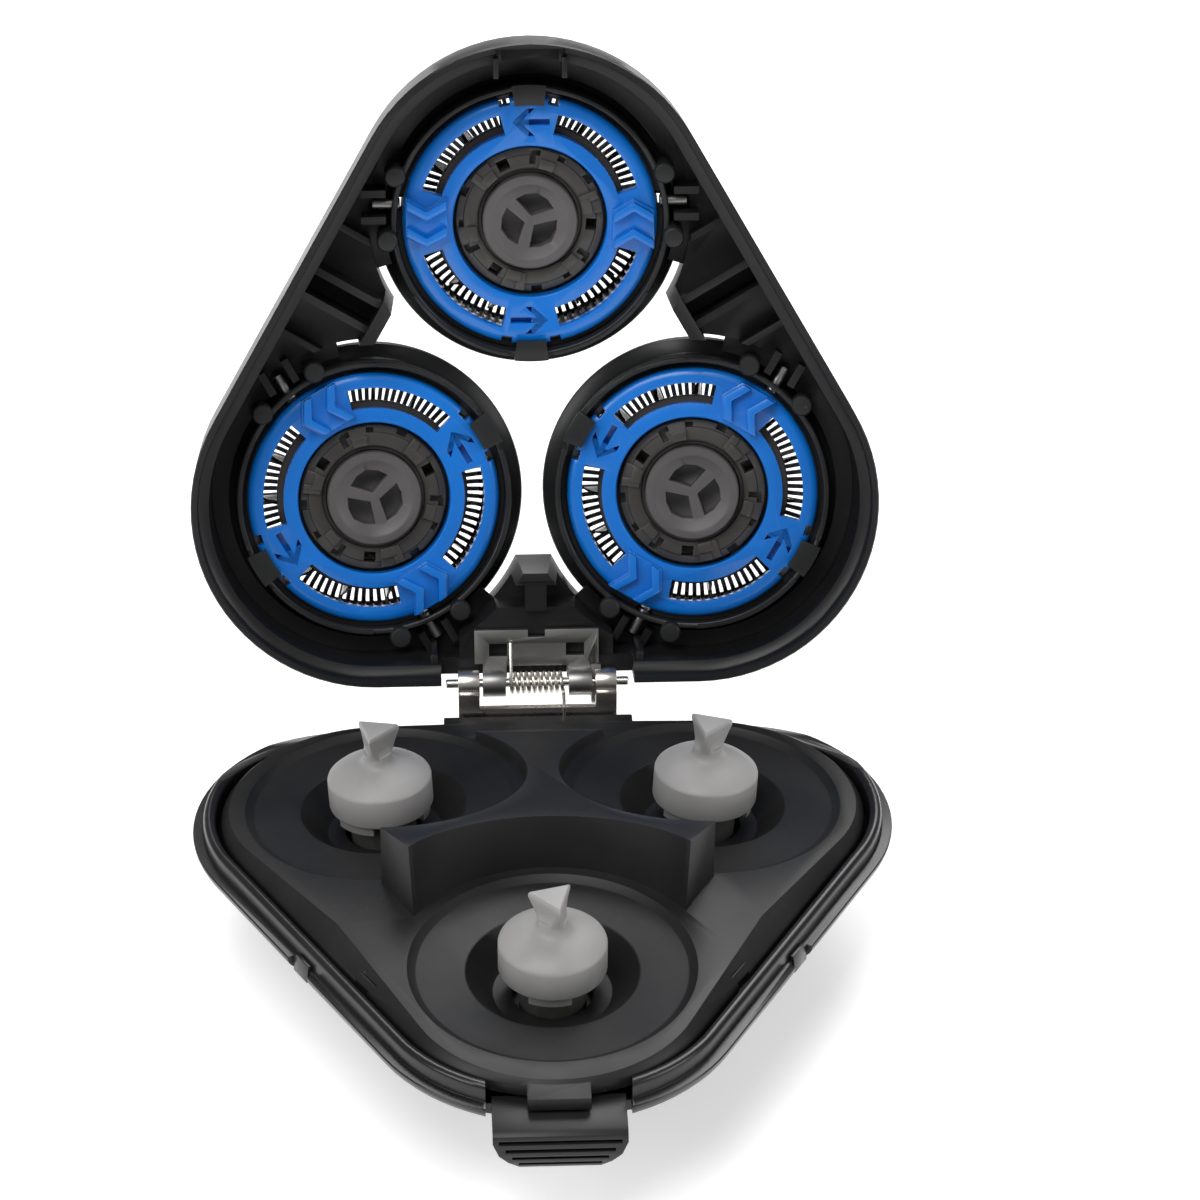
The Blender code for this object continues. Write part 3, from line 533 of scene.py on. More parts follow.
class Groups:
    """Shader effects that several finishes share, built once."""

    def __init__(self) -> None:
        """Build the groups."""
        self.grain = self._grain()
        self.specks = self._specks()
        self.streaks = self._streaks()

    @staticmethod
    def _object_coords(t: Tree) -> bpy.types.NodeSocket:
        """Object coordinates inside a group."""
        return t.add("ShaderNodeTexCoord").outputs["Object"]

    @classmethod
    def _grain(cls) -> bpy.types.NodeTree:
        """Fine mould texture with slow changes of gloss."""
        t = Tree("mould_grain", "ShaderNodeTree")
        t.socket("Fine Scale", "NodeSocketFloat", value=4000.0)
        t.socket("Slow Scale", "NodeSocketFloat", value=60.0)
        t.socket("Height", "NodeSocketFloat", output=True)
        t.socket("Patches", "NodeSocketFloat", output=True)
        gin, gout = t.add("NodeGroupInput"), t.add("NodeGroupOutput")
        coords = cls._object_coords(t)
        fine = t.add("ShaderNodeTexNoise", Detail=3.0, Roughness=0.6)
        slow = t.add("ShaderNodeTexNoise", Detail=4.0, Roughness=0.55, Distortion=0.3)
        t.link(coords, fine.inputs["Vector"])
        t.link(coords, slow.inputs["Vector"])
        t.link(gin.outputs["Fine Scale"], fine.inputs["Scale"])
        t.link(gin.outputs["Slow Scale"], slow.inputs["Scale"])
        t.link(fine.outputs["Fac"], gout.inputs["Height"])
        t.link(slow.outputs["Fac"], gout.inputs["Patches"])
        return t.tree

    @classmethod
    def _specks(cls) -> bpy.types.NodeTree:
        """Dust specks in sparse patches, and a faint film of dust, alike on every face."""
        t = Tree("dust_specks", "ShaderNodeTree")
        t.socket("Scale", "NodeSocketFloat", value=420.0)
        t.socket("Amount", "NodeSocketFloat", value=0.4)
        t.socket("Mask", "NodeSocketFloat", output=True)
        gin, gout = t.add("NodeGroupInput"), t.add("NodeGroupOutput")
        coords = cls._object_coords(t)
        cells = t.add("ShaderNodeTexVoronoi", feature="F1", Randomness=1.0)
        dots = map_range(t.tree, cells.outputs["Distance"], (0.07, 0.03))
        sparse = t.add("ShaderNodeTexNoise", Scale=90.0, Detail=2.0)
        gate = map_range(t.tree, sparse.outputs["Fac"], (0.52, 0.66))
        both = t.add("ShaderNodeMath", operation="MULTIPLY")
        film = t.add("ShaderNodeTexNoise", Scale=160.0, Detail=5.0, Roughness=0.7)
        veil = map_range(t.tree, film.outputs["Fac"], (0.5, 0.85), (0.0, 0.10))
        total = t.add("ShaderNodeMath", operation="ADD")
        scaled = t.add("ShaderNodeMath", operation="MULTIPLY")
        t.link(coords, cells.inputs["Vector"])
        t.link(gin.outputs["Scale"], cells.inputs["Scale"])
        t.link(coords, sparse.inputs["Vector"])
        t.link(dots.outputs[0], both.inputs[0])
        t.link(gate.outputs[0], both.inputs[1])
        t.link(coords, film.inputs["Vector"])
        t.link(both.outputs[0], total.inputs[0])
        t.link(veil.outputs[0], total.inputs[1])
        t.link(total.outputs[0], scaled.inputs[0])
        t.link(gin.outputs["Amount"], scaled.inputs[1])
        t.link(scaled.outputs[0], gout.inputs["Mask"])
        return t.tree

    @classmethod
    def _streaks(cls) -> bpy.types.NodeTree:
        """Fine parallel rolling or grinding lines along local X."""
        t = Tree("rolling_lines", "ShaderNodeTree")
        t.socket("Scale", "NodeSocketFloat", value=900.0)
        t.socket("Height", "NodeSocketFloat", output=True)
        t.socket("Stain", "NodeSocketFloat", output=True)
        gin, gout = t.add("NodeGroupInput"), t.add("NodeGroupOutput")
        coords = cls._object_coords(t)
        flat = t.add("ShaderNodeMapping")
        flat.inputs["Scale"].default_value = (0.06, 1.0, 1.0)
        lines = t.add("ShaderNodeTexNoise", Detail=3.0, Roughness=0.6)
        stain = t.add("ShaderNodeTexNoise", Scale=260.0, Detail=4.0, Roughness=0.6)
        t.link(coords, flat.inputs["Vector"])
        t.link(flat.outputs[0], lines.inputs["Vector"])
        t.link(gin.outputs["Scale"], lines.inputs["Scale"])
        t.link(coords, stain.inputs["Vector"])
        t.link(lines.outputs["Fac"], gout.inputs["Height"])
        t.link(stain.outputs["Fac"], gout.inputs["Stain"])
        return t.tree


# ------------------------------------------------------------------ finishes

Colour = tuple[float, float, float]


@dataclass(frozen=True)
class Finish:
    """A moulded or metal surface."""

    NOISE_SPAN: ClassVar[tuple[float, float]] = (0.3, 0.7)
    COAT_ROUGHNESS: ClassVar[float] = 0.12
    SCATTER_DEPTH: ClassVar[float] = 0.0006
    BUMP_DEPTH: ClassVar[float] = 0.00004
    DUST_ROUGHNESS: ClassVar[float] = 0.8

    name: str
    slot: str
    colour: Colour
    second: Colour
    roughness: tuple[float, float]
    metal: float = 0.0
    fine: float = 3200.0
    slow: float = 90.0
    bump: float = 0.12
    dust: float = 0.0
    dust_colour: Colour = (0.30, 0.30, 0.29)
    coat: float = 0.0
    lines: bool = False
    spec: float = 0.5
    scatter: float = 0.0

    def build(self, groups: Groups) -> bpy.types.Material:
        """Make the material.

        Args:
            groups: shared shader groups.

        Returns:
            The material.
        """
        mat = bpy.data.materials.new(self.name)
        mat.use_nodes = True
        tree = mat.node_tree
        bsdf = tree.nodes["Principled BSDF"]
        bsdf.inputs["Metallic"].default_value = self.metal
        bsdf.inputs["Specular IOR Level"].default_value = self.spec
        bsdf.inputs["Coat Weight"].default_value = self.coat
        bsdf.inputs["Coat Roughness"].default_value = self.COAT_ROUGHNESS
        if self.scatter:
            bsdf.inputs["Subsurface Weight"].default_value = self.scatter
            bsdf.inputs["Subsurface Radius"].default_value = (1.0, 1.0, 1.0)
            bsdf.inputs["Subsurface Scale"].default_value = self.SCATTER_DEPTH
        effect = add_node(tree, "ShaderNodeGroup", node_tree=groups.streaks if self.lines else groups.grain)
        if self.lines:
            effect.inputs["Scale"].default_value = self.fine
            slow, height = effect.outputs["Stain"], effect.outputs["Height"]
        else:
            effect.inputs["Fine Scale"].default_value = self.fine
            effect.inputs["Slow Scale"].default_value = self.slow
            slow, height = effect.outputs["Patches"], effect.outputs["Height"]
        spread = map_range(tree, slow, self.NOISE_SPAN)
        tint = add_node(tree, "ShaderNodeMix", data_type="RGBA")
        tint.inputs[6].default_value = (*self.colour, 1.0)
        tint.inputs[7].default_value = (*self.second, 1.0)
        tree.links.new(spread.outputs[0], tint.inputs[0])
        rough = map_range(tree, slow, self.NOISE_SPAN, self.roughness)
        colour, gloss = tint.outputs[2], rough.outputs[0]
        if self.dust:
            specks = add_node(tree, "ShaderNodeGroup", node_tree=groups.specks)
            specks.inputs["Amount"].default_value = self.dust
            over = add_node(tree, "ShaderNodeMix", data_type="RGBA")
            over.inputs[7].default_value = (*self.dust_colour, 1.0)
            tree.links.new(specks.outputs["Mask"], over.inputs[0])
            tree.links.new(colour, over.inputs[6])
            dull = add_node(tree, "ShaderNodeMix", data_type="FLOAT")
            dull.inputs[3].default_value = self.DUST_ROUGHNESS
            tree.links.new(specks.outputs["Mask"], dull.inputs[0])
            tree.links.new(gloss, dull.inputs[2])
            colour, gloss = over.outputs[2], dull.outputs[0]
        tree.links.new(colour, bsdf.inputs["Base Color"])
        tree.links.new(gloss, bsdf.inputs["Roughness"])
        bump = add_node(tree, "ShaderNodeBump", Strength=self.bump, Distance=self.BUMP_DEPTH)
        tree.links.new(height, bump.inputs["Height"])
        tree.links.new(bump.outputs[0], bsdf.inputs["Normal"])
        return mat


class Paint(Enum):
    """Every finish of the unit."""

    GUARD = Finish("guard_dull_steel", "blade_steel", (0.20, 0.20, 0.20), (0.14, 0.14, 0.145),
                   (0.28, 0.40), metal=1.0, fine=1400.0, bump=0.10, lines=True)
    SHELL = Finish("shell_black_abs", "black_plastic", (0.0085, 0.0085, 0.0092), (0.012, 0.012, 0.013),
                   (0.24, 0.34), bump=0.10, dust=0.08, coat=0.1, spec=0.34)
    FRAME = Finish("frame_black_abs", "black_plastic", (0.0085, 0.0085, 0.0092), (0.013, 0.013, 0.0135),
                   (0.34, 0.46), bump=0.14, dust=0.08, spec=0.32)
    TRAY = Finish("tray_black_moulding", "tray_plastic", (0.0085, 0.0085, 0.009), (0.013, 0.013, 0.0135),
                  (0.36, 0.50), bump=0.16, dust=0.14, spec=0.30)
    BUTTON = Finish("button_black_moulding", "black_plastic", (0.010, 0.010, 0.011), (0.014, 0.014, 0.015),
                    (0.34, 0.44), bump=0.16, dust=0.08, spec=0.32)
    SPINDLE = Finish("spindle_grey_acetal", "grey_plastic", (0.27, 0.265, 0.262), (0.315, 0.308, 0.305),
                     (0.42, 0.55), slow=160.0, bump=0.14, dust=0.18, dust_colour=(0.42, 0.41, 0.4),
                     scatter=0.25)
    GEAR = Finish("gear_dark_acetal", "gear_plastic", (0.060, 0.058, 0.056), (0.075, 0.073, 0.07),
                  (0.40, 0.52), bump=0.12)
    HOLDER = Finish("holder_dark_moulding", "holder_plastic", (0.013, 0.0135, 0.0145),
                    (0.02, 0.0205, 0.0215), (0.30, 0.42), bump=0.12, dust=0.10, spec=0.32)
    HUB = Finish("hub_brown_grey_moulding", "carrier_plastic", (0.036, 0.033, 0.031), (0.052, 0.048, 0.044),
                 (0.30, 0.46), slow=120.0, bump=0.16, dust=0.16)
    COUPLING = Finish("coupling_warm_grey_moulding", "carrier_plastic", (0.072, 0.067, 0.067),
                      (0.088, 0.082, 0.082), (0.40, 0.50), slow=140.0, bump=0.12, dust=0.12)
    RING = Finish("ring_blue_moulding", "blue_plastic", (0.0, 0.145, 0.56), (0.0, 0.165, 0.63),
                  (0.26, 0.36), bump=0.08, dust=0.06, dust_colour=(0.2, 0.35, 0.6), coat=0.2)
    BRIGHT = Finish("bright_spring_steel", "bright_steel", (0.80, 0.76, 0.71), (0.70, 0.66, 0.61),
                    (0.24, 0.34), metal=1.0, fine=900.0, bump=0.10, lines=True)
    SATIN = Finish("satin_pressed_steel", "satin_steel", (0.36, 0.355, 0.345), (0.29, 0.285, 0.275),
                   (0.32, 0.44), metal=1.0, fine=900.0, bump=0.14, lines=True)
    CHROME = Finish("polished_chrome", "chrome", (0.78, 0.78, 0.80), (0.74, 0.74, 0.76),
                    (0.08, 0.16), metal=1.0, bump=0.03)
    BLADE = Finish("ground_blade_steel", "blade_steel", (0.66, 0.65, 0.64), (0.56, 0.555, 0.55),
                   (0.20, 0.32), metal=1.0, fine=1400.0, bump=0.08, lines=True)


class Palette:
    """Materials, made once each."""

    def __init__(self) -> None:
        """Build every material."""
        groups = Groups()
        self.materials = {paint: paint.value.build(groups) for paint in Paint}

    def of(self, paint: Paint) -> bpy.types.Material:
        """The material of a finish."""
        return self.materials[paint]


# ------------------------------------------------------------------ layout

@dataclass(frozen=True)
class Layout:
    """Sizes and frames that the sub-assemblies share, in millimetres and degrees."""

    corner_r: float = 17.3
    corner_round: float = 16.7
    outline_shift: float = -0.5
    hinge_y: float = 25.42
    hinge_z: float = 15.96
    lid_angle: float = 109.2
    driver_r: float = 17.03
    driver_z: float = 17.5
    driver_tilt: float = 3.5
    pod_r: float = 17.2
    pod_z: float = 20.86
    pod_tilt: float = 6.0
    heads: tuple[float, float, float] = (270.0, 30.0, 150.0)
    sides: tuple[float, float, float] = (90.0, 210.0, 330.0)
    phases: tuple[float, float, float] = (75.0, 45.0, 45.0)

    def origin(self) -> Vector:
        """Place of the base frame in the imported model, in metres, from the lid's hinge."""
        joint = next(j for j in frame["joints"] if j["name"] == "lid_hinge")
        return Vector(joint["pos_m"]) - Vector((0, self.hinge_y, self.hinge_z)) * MM

    def outline(self, inset: float, z: float, corner: int = 26, side: int = 8) -> list[Point]:
        """The rounded triangle of the unit, moved inwards.

        Args:
            inset: distance inwards.
            z: level.
            corner: facets in each corner.
            side: points added on each straight side.

        Returns:
            The ring of points.
        """
        ring: list[Vector] = []
        for head in self.heads:
            centre = polar(self.corner_r, head)
            ring += [centre + polar(self.corner_round - inset, head - 60 + 120 * k / corner)
                     for k in range(corner + 1)]
            last = ring[-1]
            step = (polar(self.corner_r, head + 120) - centre) / (side + 1)
            ring += [last + step * k for k in range(1, side + 1)]
        return [(p.x, p.y + self.outline_shift, z) for p in ring]

    def driver(self, head: float) -> Matrix:
        """Driver frame: origin at the disc's rim, +X outwards, +Z up its axis."""
        return turn(head) @ shift(self.driver_r, 0, self.driver_z) @ turn(self.driver_tilt, "Y")

    def open_lid(self) -> Matrix:
        """Carries closed-lid coordinates to the open lid."""
        there = shift(0, self.hinge_y, self.hinge_z)
        return there @ turn(-self.lid_angle, "X") @ shift(0, -self.hinge_y, -self.hinge_z)

    def pod_closed(self, head: float) -> Matrix:
        """Head frame in the closed lid: +X outwards, +Z to the shaving side."""
        return turn(head) @ shift(self.pod_r, 0, self.pod_z) @ turn(self.pod_tilt, "Y")

    def pod(self, head: float) -> Matrix:
        """Head frame in the open lid."""
        return self.open_lid() @ self.pod_closed(head)


class Assembly:
    """What every sub-assembly can do: dress a shape and mount it on a body."""

    def __init__(self, layout: Layout, palette: Palette, repeaters: Repeaters) -> None:
        """Keep the shared layout, materials and trees."""
        self.layout, self.palette, self.rep = layout, palette, repeaters

    def mount(self, shape: Shape, name: str, paint: Paint, body: str, nodes: Sequence[str] = (),
              place: Matrix | None = None, sharp: float = 34.0) -> bpy.types.Object:
        """Finish a piece and let it ride on a body.

        Args:
            shape: the shape, in millimetres.
            name: name of the finished piece.
            paint: its finish.
            body: body that it moves with.
            nodes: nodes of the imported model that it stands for.
            place: where it goes, in the base frame.
            sharp: edges sharper than this stay crisp, degrees.

        Returns:
            The finished object.
        """
        obj = shape.obj
        obj.name = name
        place = place or Matrix()
        obj.data.transform(Matrix.Translation(self.layout.origin()) @ Matrix.Scale(MM, 4) @ place)
        obj.data.name = name
        obj.data.materials.clear()
        obj.data.materials.append(self.palette.of(paint))
        obj.data.polygons.foreach_set("material_index", [0] * len(obj.data.polygons))
        obj.data.shade_smooth()
        obj.data.set_sharp_from_angle(angle=math.radians(sharp))
        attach(obj, body)
        if nodes:
            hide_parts(*nodes)
        LOG.info("%s: %d faces on %s", name, len(obj.data.polygons), body)
        return obj


# ------------------------------------------------------------------ base

@dataclass
class BaseHousing(Assembly):
    """Shell, tray with its block, and release button."""

    layout: Layout
    palette: Palette
    rep: Repeaters
    foot_r: float = 18.0
    foot_y: float = 3.0
    ledge_z: float = 12.2
    lip_z: float = 13.8
    floor_z: float = 2.6
    wall: float = 1.6
    screw_at: float = 12.5
    tray_inset: float = 2.6
    tray_bottom: float = 11.6
    apex: float = 15.45
    facet_tilt: float = 3.3
    recess_at: float = 16.7
    recess_r: float = 12.5
    recess_depth: float = 0.5
    well_r: float = 7.4
    well_floor_r: float = 5.25
    well_depth: float = 2.4
    block_top: float = 20.6
    block_slope: float = 0.245
    block_arc: float = 13.6
    block_front_arc: float = 14.5
    block_front_y: float = -17.5
    block_steps: int = 40
    button_half: float = 5.6

    def build(self) -> None:
        """Build and mount the shell, the tray, the button and the bed under the hinge."""
        self.mount(self._shell(), "housing_shell", Paint.SHELL, "base", ["base_shell"])
        self.mount(self._tray(), "housing_tray", Paint.TRAY, "base", ["drive_tray"])
        self.mount(self._button(), "latch_button", Paint.BUTTON, "button", ["release_button"])
        bed = Shape.box("bed", (-8.8, 8.8), (20.8, 23.35), (11.0, 13.6)).bevel(0.12)
        self.mount(bed, "hinge_bed", Paint.TRAY, "base")

    def _foot(self, r: float, z: float) -> list[Point]:
        """Circle of the neck with the outline's point order."""
        ring = []
        for x, y, _ in self.layout.outline(0, 0):
            a = math.atan2(y - self.foot_y, x)
            ring.append((r * math.cos(a), self.foot_y + r * math.sin(a), z))
        return ring

    @staticmethod
    def _between(a: Sequence[Point], b: Sequence[Point], t: float, z: float) -> list[Point]:
        """Ring part way between two rings."""
        return [(p[0] + (q[0] - p[0]) * t, p[1] + (q[1] - p[1]) * t, z) for p, q in zip(a, b)]

    def _facet(self, head: float) -> Matrix:
        """Frame of a tray facet, at its recess centre."""
        z = self.apex - math.tan(math.radians(self.facet_tilt)) * self.recess_at
        return turn(head) @ shift(self.recess_at, 0, z) @ turn(self.facet_tilt, "Y")

    def _hinge_sweep(self) -> Shape:
        """Space that the closing lid sweeps at the hinge."""
        place = shift(0, self.layout.hinge_y, self.layout.hinge_z) @ turn(90, "Y")
        return Shape.rod("sweep", 4.0, -30, 30, 64).move(place)

    def _shell(self) -> Shape:
        """The outer shell with its neck, ledge and raised lip."""
        out, z, lip = self.layout.outline, self.ledge_z, self.lip_z
        low, skin = self._foot(self.foot_r, 0), out(1.0, 0)
        low_in, skin_in = self._foot(self.foot_r - 1.6, 0), out(self.wall, 0)
        foot = ((0.6, 0.0), (0.2, 0.15), (0.0, 0.5))
        rings = [self._foot(self.foot_r - inwards, level) for inwards, level in foot]
        rings += [self._between(low, skin, t, 0.5 + (z - 2.1) * t) for t in (0.2, 0.4, 0.6, 0.8, 1.0)]
        ledge = ((0.55, -1.2), (0.2, -0.8), (0.04, -0.4), (0.0, -0.1), (0.08, 0.0), (0.9, 0.0), (0.95, 0.1))
        bead = ((0.97, -0.6), (1.03, -0.3), (1.16, -0.12), (1.35, -0.02), (1.55, 0.0), (1.75, -0.03),
                (1.95, -0.15), (2.07, -0.35), (2.1, -0.6))
        rings += [out(inset, z + up) for inset, up in ledge] + [out(inset, lip + up) for inset, up in bead]
        rings.append(out(2.1, z - 1.2))
        rings += [self._between(low_in, skin_in, 0.5, 6.7), self._foot(self.foot_r - 1.8, self.floor_z)]
        shell = Shape.loft("shell", rings)
        holes = [Shape.rod("bore", 6.0, -1, self.floor_z + 1.0), Shape.rod("neck", 9.4, -1, 0.9)]
        for side in self.layout.sides:
            p = polar(self.screw_at, side)
            holes.append(Shape.rod("clear", 1.2, -1, self.floor_z + 1, 24).move(shift(p.x, p.y)))
            holes.append(Shape.rod("sink", 2.05, -1, 1.5, 32).move(shift(p.x, p.y)))
            if side != self.layout.sides[0]:
                at = shift(0, self.layout.outline_shift) @ turn(side)
                holes.append(Shape.box("snap_notch", (24.75, 27), (-1.7, 1.7), (z - 1.5, z + 0.6)).move(at))
        half = self.button_half
        holes.append(Shape.box("window", (-half - 0.5, half + 0.5), (-40, -30.6), (7.4, 16)))
        hy = self.layout.hinge_y
        holes.append(Shape.box("pocket", (-7.8, 7.8), (hy - 2.05, 30), (z - 1.4, 16)))
        holes.append(self._hinge_sweep())
        ramp = Shape.box("ramp", (-40, 40), (0, 30), (0, 6))
        holes.append(ramp.move(shift(0, 12.5, lip + 0.15) @ turn(-11.5, "X")))
        shell.cut(*holes)
        shell.bevel(0.14, 2)
        tabs = []
        for side in self.layout.sides[1:]:
            at = shift(0, self.layout.outline_shift) @ turn(side)
            rows = ((1.2, 25.1, z - 1.1), (1.1, 24.85, z + 0.5))
            tab = Shape.loft("tab", [[(24.4, -h, level), (x, -h, level), (x, h, level), (24.4, h, level)]
                                     for h, x, level in rows])
            tabs.append(tab.move(at).bevel(0.08))
        return shell.join(*tabs)

    def _block_outline(self, grow: float) -> list[Point]:
        """Outline of the block between the drivers.

        Args:
            grow: how far its sides stand outside the top edge, for the draft.

        Returns:
            The points.
        """
        front = Vector((0, self.block_front_y, 0))
        right, left = (polar(self.layout.driver_r, h) for h in self.layout.heads[1:])
        arcs = ((front, self.block_front_arc, 147.0, 33.0), (right, self.block_arc, 269.4, 132.0),
                (left, self.block_arc, 48.0, -89.4))
        pts: list[Point] = []
        for centre, r, a0, a1 in arcs:
            for k in range(self.block_steps + 1):
                p = centre + polar(r - grow, a0 + (a1 - a0) * k / self.block_steps)
                pts.append((p.x, p.y))
        return pts

    def _tray(self) -> Shape:
        """The tray: three facets, their recesses and wells, and the block."""
        out = self.layout.outline
        tray = Shape.loft("tray", [out(self.tray_inset, self.tray_bottom), out(self.tray_inset, 13.0),
                                   out(self.tray_inset + 0.1, 13.2), out(self.tray_inset + 0.3, 13.4),
                                   out(self.tray_inset + 2.9, 16.0)])
        heads = self.layout.heads
        tray.cut(*[Shape.box("slab", (-60, 60), (-60, 60), (0, 12)).move(self._facet(h)) for h in heads])
        low, high = self._block_outline(0.5), self._block_outline(-0.12)
        block = Shape.loft("block", [[(x, y, 13.2) for x, y in low], [(x, y, 24.0) for x, y in high]])
        plane = Shape.box("plane", (-40, 40), (-60, 60), (0, 20))
        tilt = -math.degrees(math.atan(self.block_slope))
        block.cut(plane.move(shift(0, -3.2, self.block_top) @ turn(tilt, "X")))
        depth = self.recess_depth
        cup_foot = -(depth + self.well_depth + 1.0)
        cups = [Shape.rod("cup", self.well_r + 1.2, cup_foot, -1.6).move(self._facet(h)) for h in heads]
        posts = []
        for side in self.layout.sides:
            p = polar(self.screw_at, side)
            post = Shape.rod("post", 1.7, self.floor_z + 0.8, self.tray_bottom + 0.4, 24)
            posts.append(post.move(shift(p.x, p.y)))
        tongue = Shape.box("tongue", (-2.65, 2.65), (-33.6, -29.0), (self.ledge_z, 13.35))
        tray.fuse(block, *cups, *posts, tongue)
        holes = []
        for head in heads:
            r, w, f = self.recess_r, self.well_r, self.well_floor_r
            holes.append(Shape.lathe("recess", [
                (0, 3.0), (r + 0.05, 3.0), (r, 0.02), (r - 0.1, -0.06), (r - 0.7, -depth + 0.06),
                (r - 0.85, -depth),
                (w + 0.25, -depth), (w + 0.05, -depth - 0.08), (w - 0.15, -depth - 0.35),
                (f + 0.25, -depth - self.well_depth + 0.3), (f - 0.1, -depth - self.well_depth),
                (0, -depth - self.well_depth),
            ], 96).move(self._facet(head)))
            holes.append(Shape.rod("through", 3.5, -12, 0).move(self.layout.driver(head)))
        half = self.button_half
        holes.append(Shape.box("slot", (-half - 0.6, half + 0.6), (-36, -29.4), (8, self.ledge_z)))
        holes.append(Shape.box("nest", (-1.5, 1.5), (-31.2, -26.1), (8, 12.7)))
        for s in (-1, 1):
            at = shift(s * 16.6, -17.6) @ turn(s * 58)
            holes.append(Shape.box("hook", (-1.0, 1.0), (-0.35, 0.35), (12.4, 16)).move(at))
            holes.append(Shape.box("relief", (-1.1, 1.4), (0.15, 0.95), (13.75, 16)).move(at))
        holes.append(self._hinge_sweep())
        holes.append(Shape.rod("crown", 2.6, 8, 12.4, 24))
        tray.cut(*holes)
        return tray.bevel(0.13, 2, 30.0)

    def _button(self) -> Shape:
        """The release button: slab in its slot and ribbed grip."""
        half = self.button_half
        slab = Shape.box("slab", (-half, half), (-35.3, -31.1), (10.85, 11.85))
        rows = ((2.6, -35.3, -34.5, 7.75), (3.4, -35.75, -34.2, 8.05), (4.3, -36.15, -34.0, 8.8),
                (5.1, -36.4, -33.8, 9.7), (half, -36.35, -33.5, 10.9), (half, -36.15, -33.5, 11.5),
                (half, -35.6, -33.5, 11.85))
        grip = Shape.loft("grip", [[(-x, y0, z), (x, y0, z), (x, y1, z), (-x, y1, z)]
                                   for x, y0, y1, z in rows])
        slab.fuse(grip)
        grooves = []
        for k in range(4):
            reach, back = 5.1 - 0.55 * k, -35.85 + 0.1 * (k > 2)
            levels = (10.78 - 0.78 * k, 11.12 - 0.78 * k)
            grooves.append(Shape.box("groove", (-reach, reach), (-38, back), levels))
        slab.cut(*grooves)
        return slab.bevel(0.12, 2)


# ------------------------------------------------------------------ drive

@dataclass
class DriveTrain(Assembly):
    """Sprung drivers that stand in the wells, and the gears under them."""

    layout: Layout
    palette: Palette
    rep: Repeaters
    disc_r: float = 4.7
    disc_side: float = 3.0
    tip_r: float = 2.15
    tip_top: float = 4.8

    def build(self) -> None:
        """Build the drivers and their springs, and dress the hidden gears."""
        spindle = self._spindle()
        for i, head in enumerate(self.layout.heads, 1):
            at = self.layout.driver(head)
            self.mount(spindle.copy(f"driver_{i}"), f"driver_head_{i}", Paint.SPINDLE, f"driver_{i}",
                       [f"drive_spindle_{i}"], at @ turn(self.layout.phases[i - 1]), 40)
            self.mount(self._spring(), f"driver_spring_{i}", Paint.BRIGHT, f"planet_{i}",
                       [f"spindle_spring_{i}"], at)
        spindle.drop()
        hidden = {"central_gear": Paint.GEAR, "drive_bearing": Paint.SATIN}
        for i in (1, 2, 3):
            hidden |= {f"planet_gear_{i}": Paint.GEAR, f"gear_axle_{i}": Paint.SATIN,
                       f"tray_screw_{i}": Paint.SATIN}
        for node, paint in hidden.items():
            frame["nodes"][node].material_slots[0].material = self.palette.of(paint)

    def _crown_ring(self, tip: float, flat: float, z: float) -> list[Point]:
        """One level of the three-cornered head.

        Args:
            tip: radius at the corners.
            flat: radius between them.
            z: level.

        Returns:
            The ring of points.
        """
        ring = []
        for k in range(72):
            a = 5.0 * k
            off = abs((a % 120) - 60)
            straight = flat / max(math.cos(math.radians(60 - off)), 0.2)
            ring.append(polar(min(straight, tip), a, z))
        return ring

    def _spindle(self) -> Shape:
        """Disc, dome, neck and flared three-cornered head of a driver."""
        r, s = self.disc_r, self.disc_side
        body = Shape.lathe("driver", [
            (0, -0.3), (2.4, -0.3), (2.4, -1.3), (3.4, -1.3), (3.4, -s), (r - 0.2, -s),
            (r - 0.05, -s + 0.06), (r, -s + 0.2), (r, -0.35), (r - 0.06, -0.17), (r - 0.22, -0.02),
            (4.1, 0.3), (3.4, 0.66), (2.6, 0.98),
            (1.9, 1.2), (1.55, 1.38), (1.38, 1.62), (1.32, 2.0), (1.3, 2.4), (0, 2.4),
        ], 96)
        tip, top = self.tip_r, self.tip_top
        levels = ((1.25, 1.2, 1.7), (1.35, 1.04, 2.3), (1.6, 0.96, 3.0), (1.92, 1.0, 3.7), (tip, 1.08, 4.25),
                  (tip, 1.08, top - 0.2), (tip - 0.13, 0.98, top))
        head = Shape.loft("head", [self._crown_ring(*level) for level in levels])
        body.fuse(head)
        tabs = [Shape.sector("tab", (3.5, r - 0.35), (a + 15, a + 65), (-3.9, -s + 0.3), 12)
                for a in (0, 120, 240)]
        body.fuse(*tabs)
        return body.bevel(0.09, 2, 42.0)

    def _spring(self) -> Shape:
        """Coil under a driver."""
        low, high = -6.2, -0.85
        seed = Shape.box("spring", (0, 0.1), (0, 0.1), (0, 0.1))
        self.rep.apply(seed, self.rep.coil, Turns=5.5, Radius=1.72, Height=high - low, Wire=0.2)
        return seed.move(shift(0, 0, low))


# ------------------------------------------------------------------ hinge

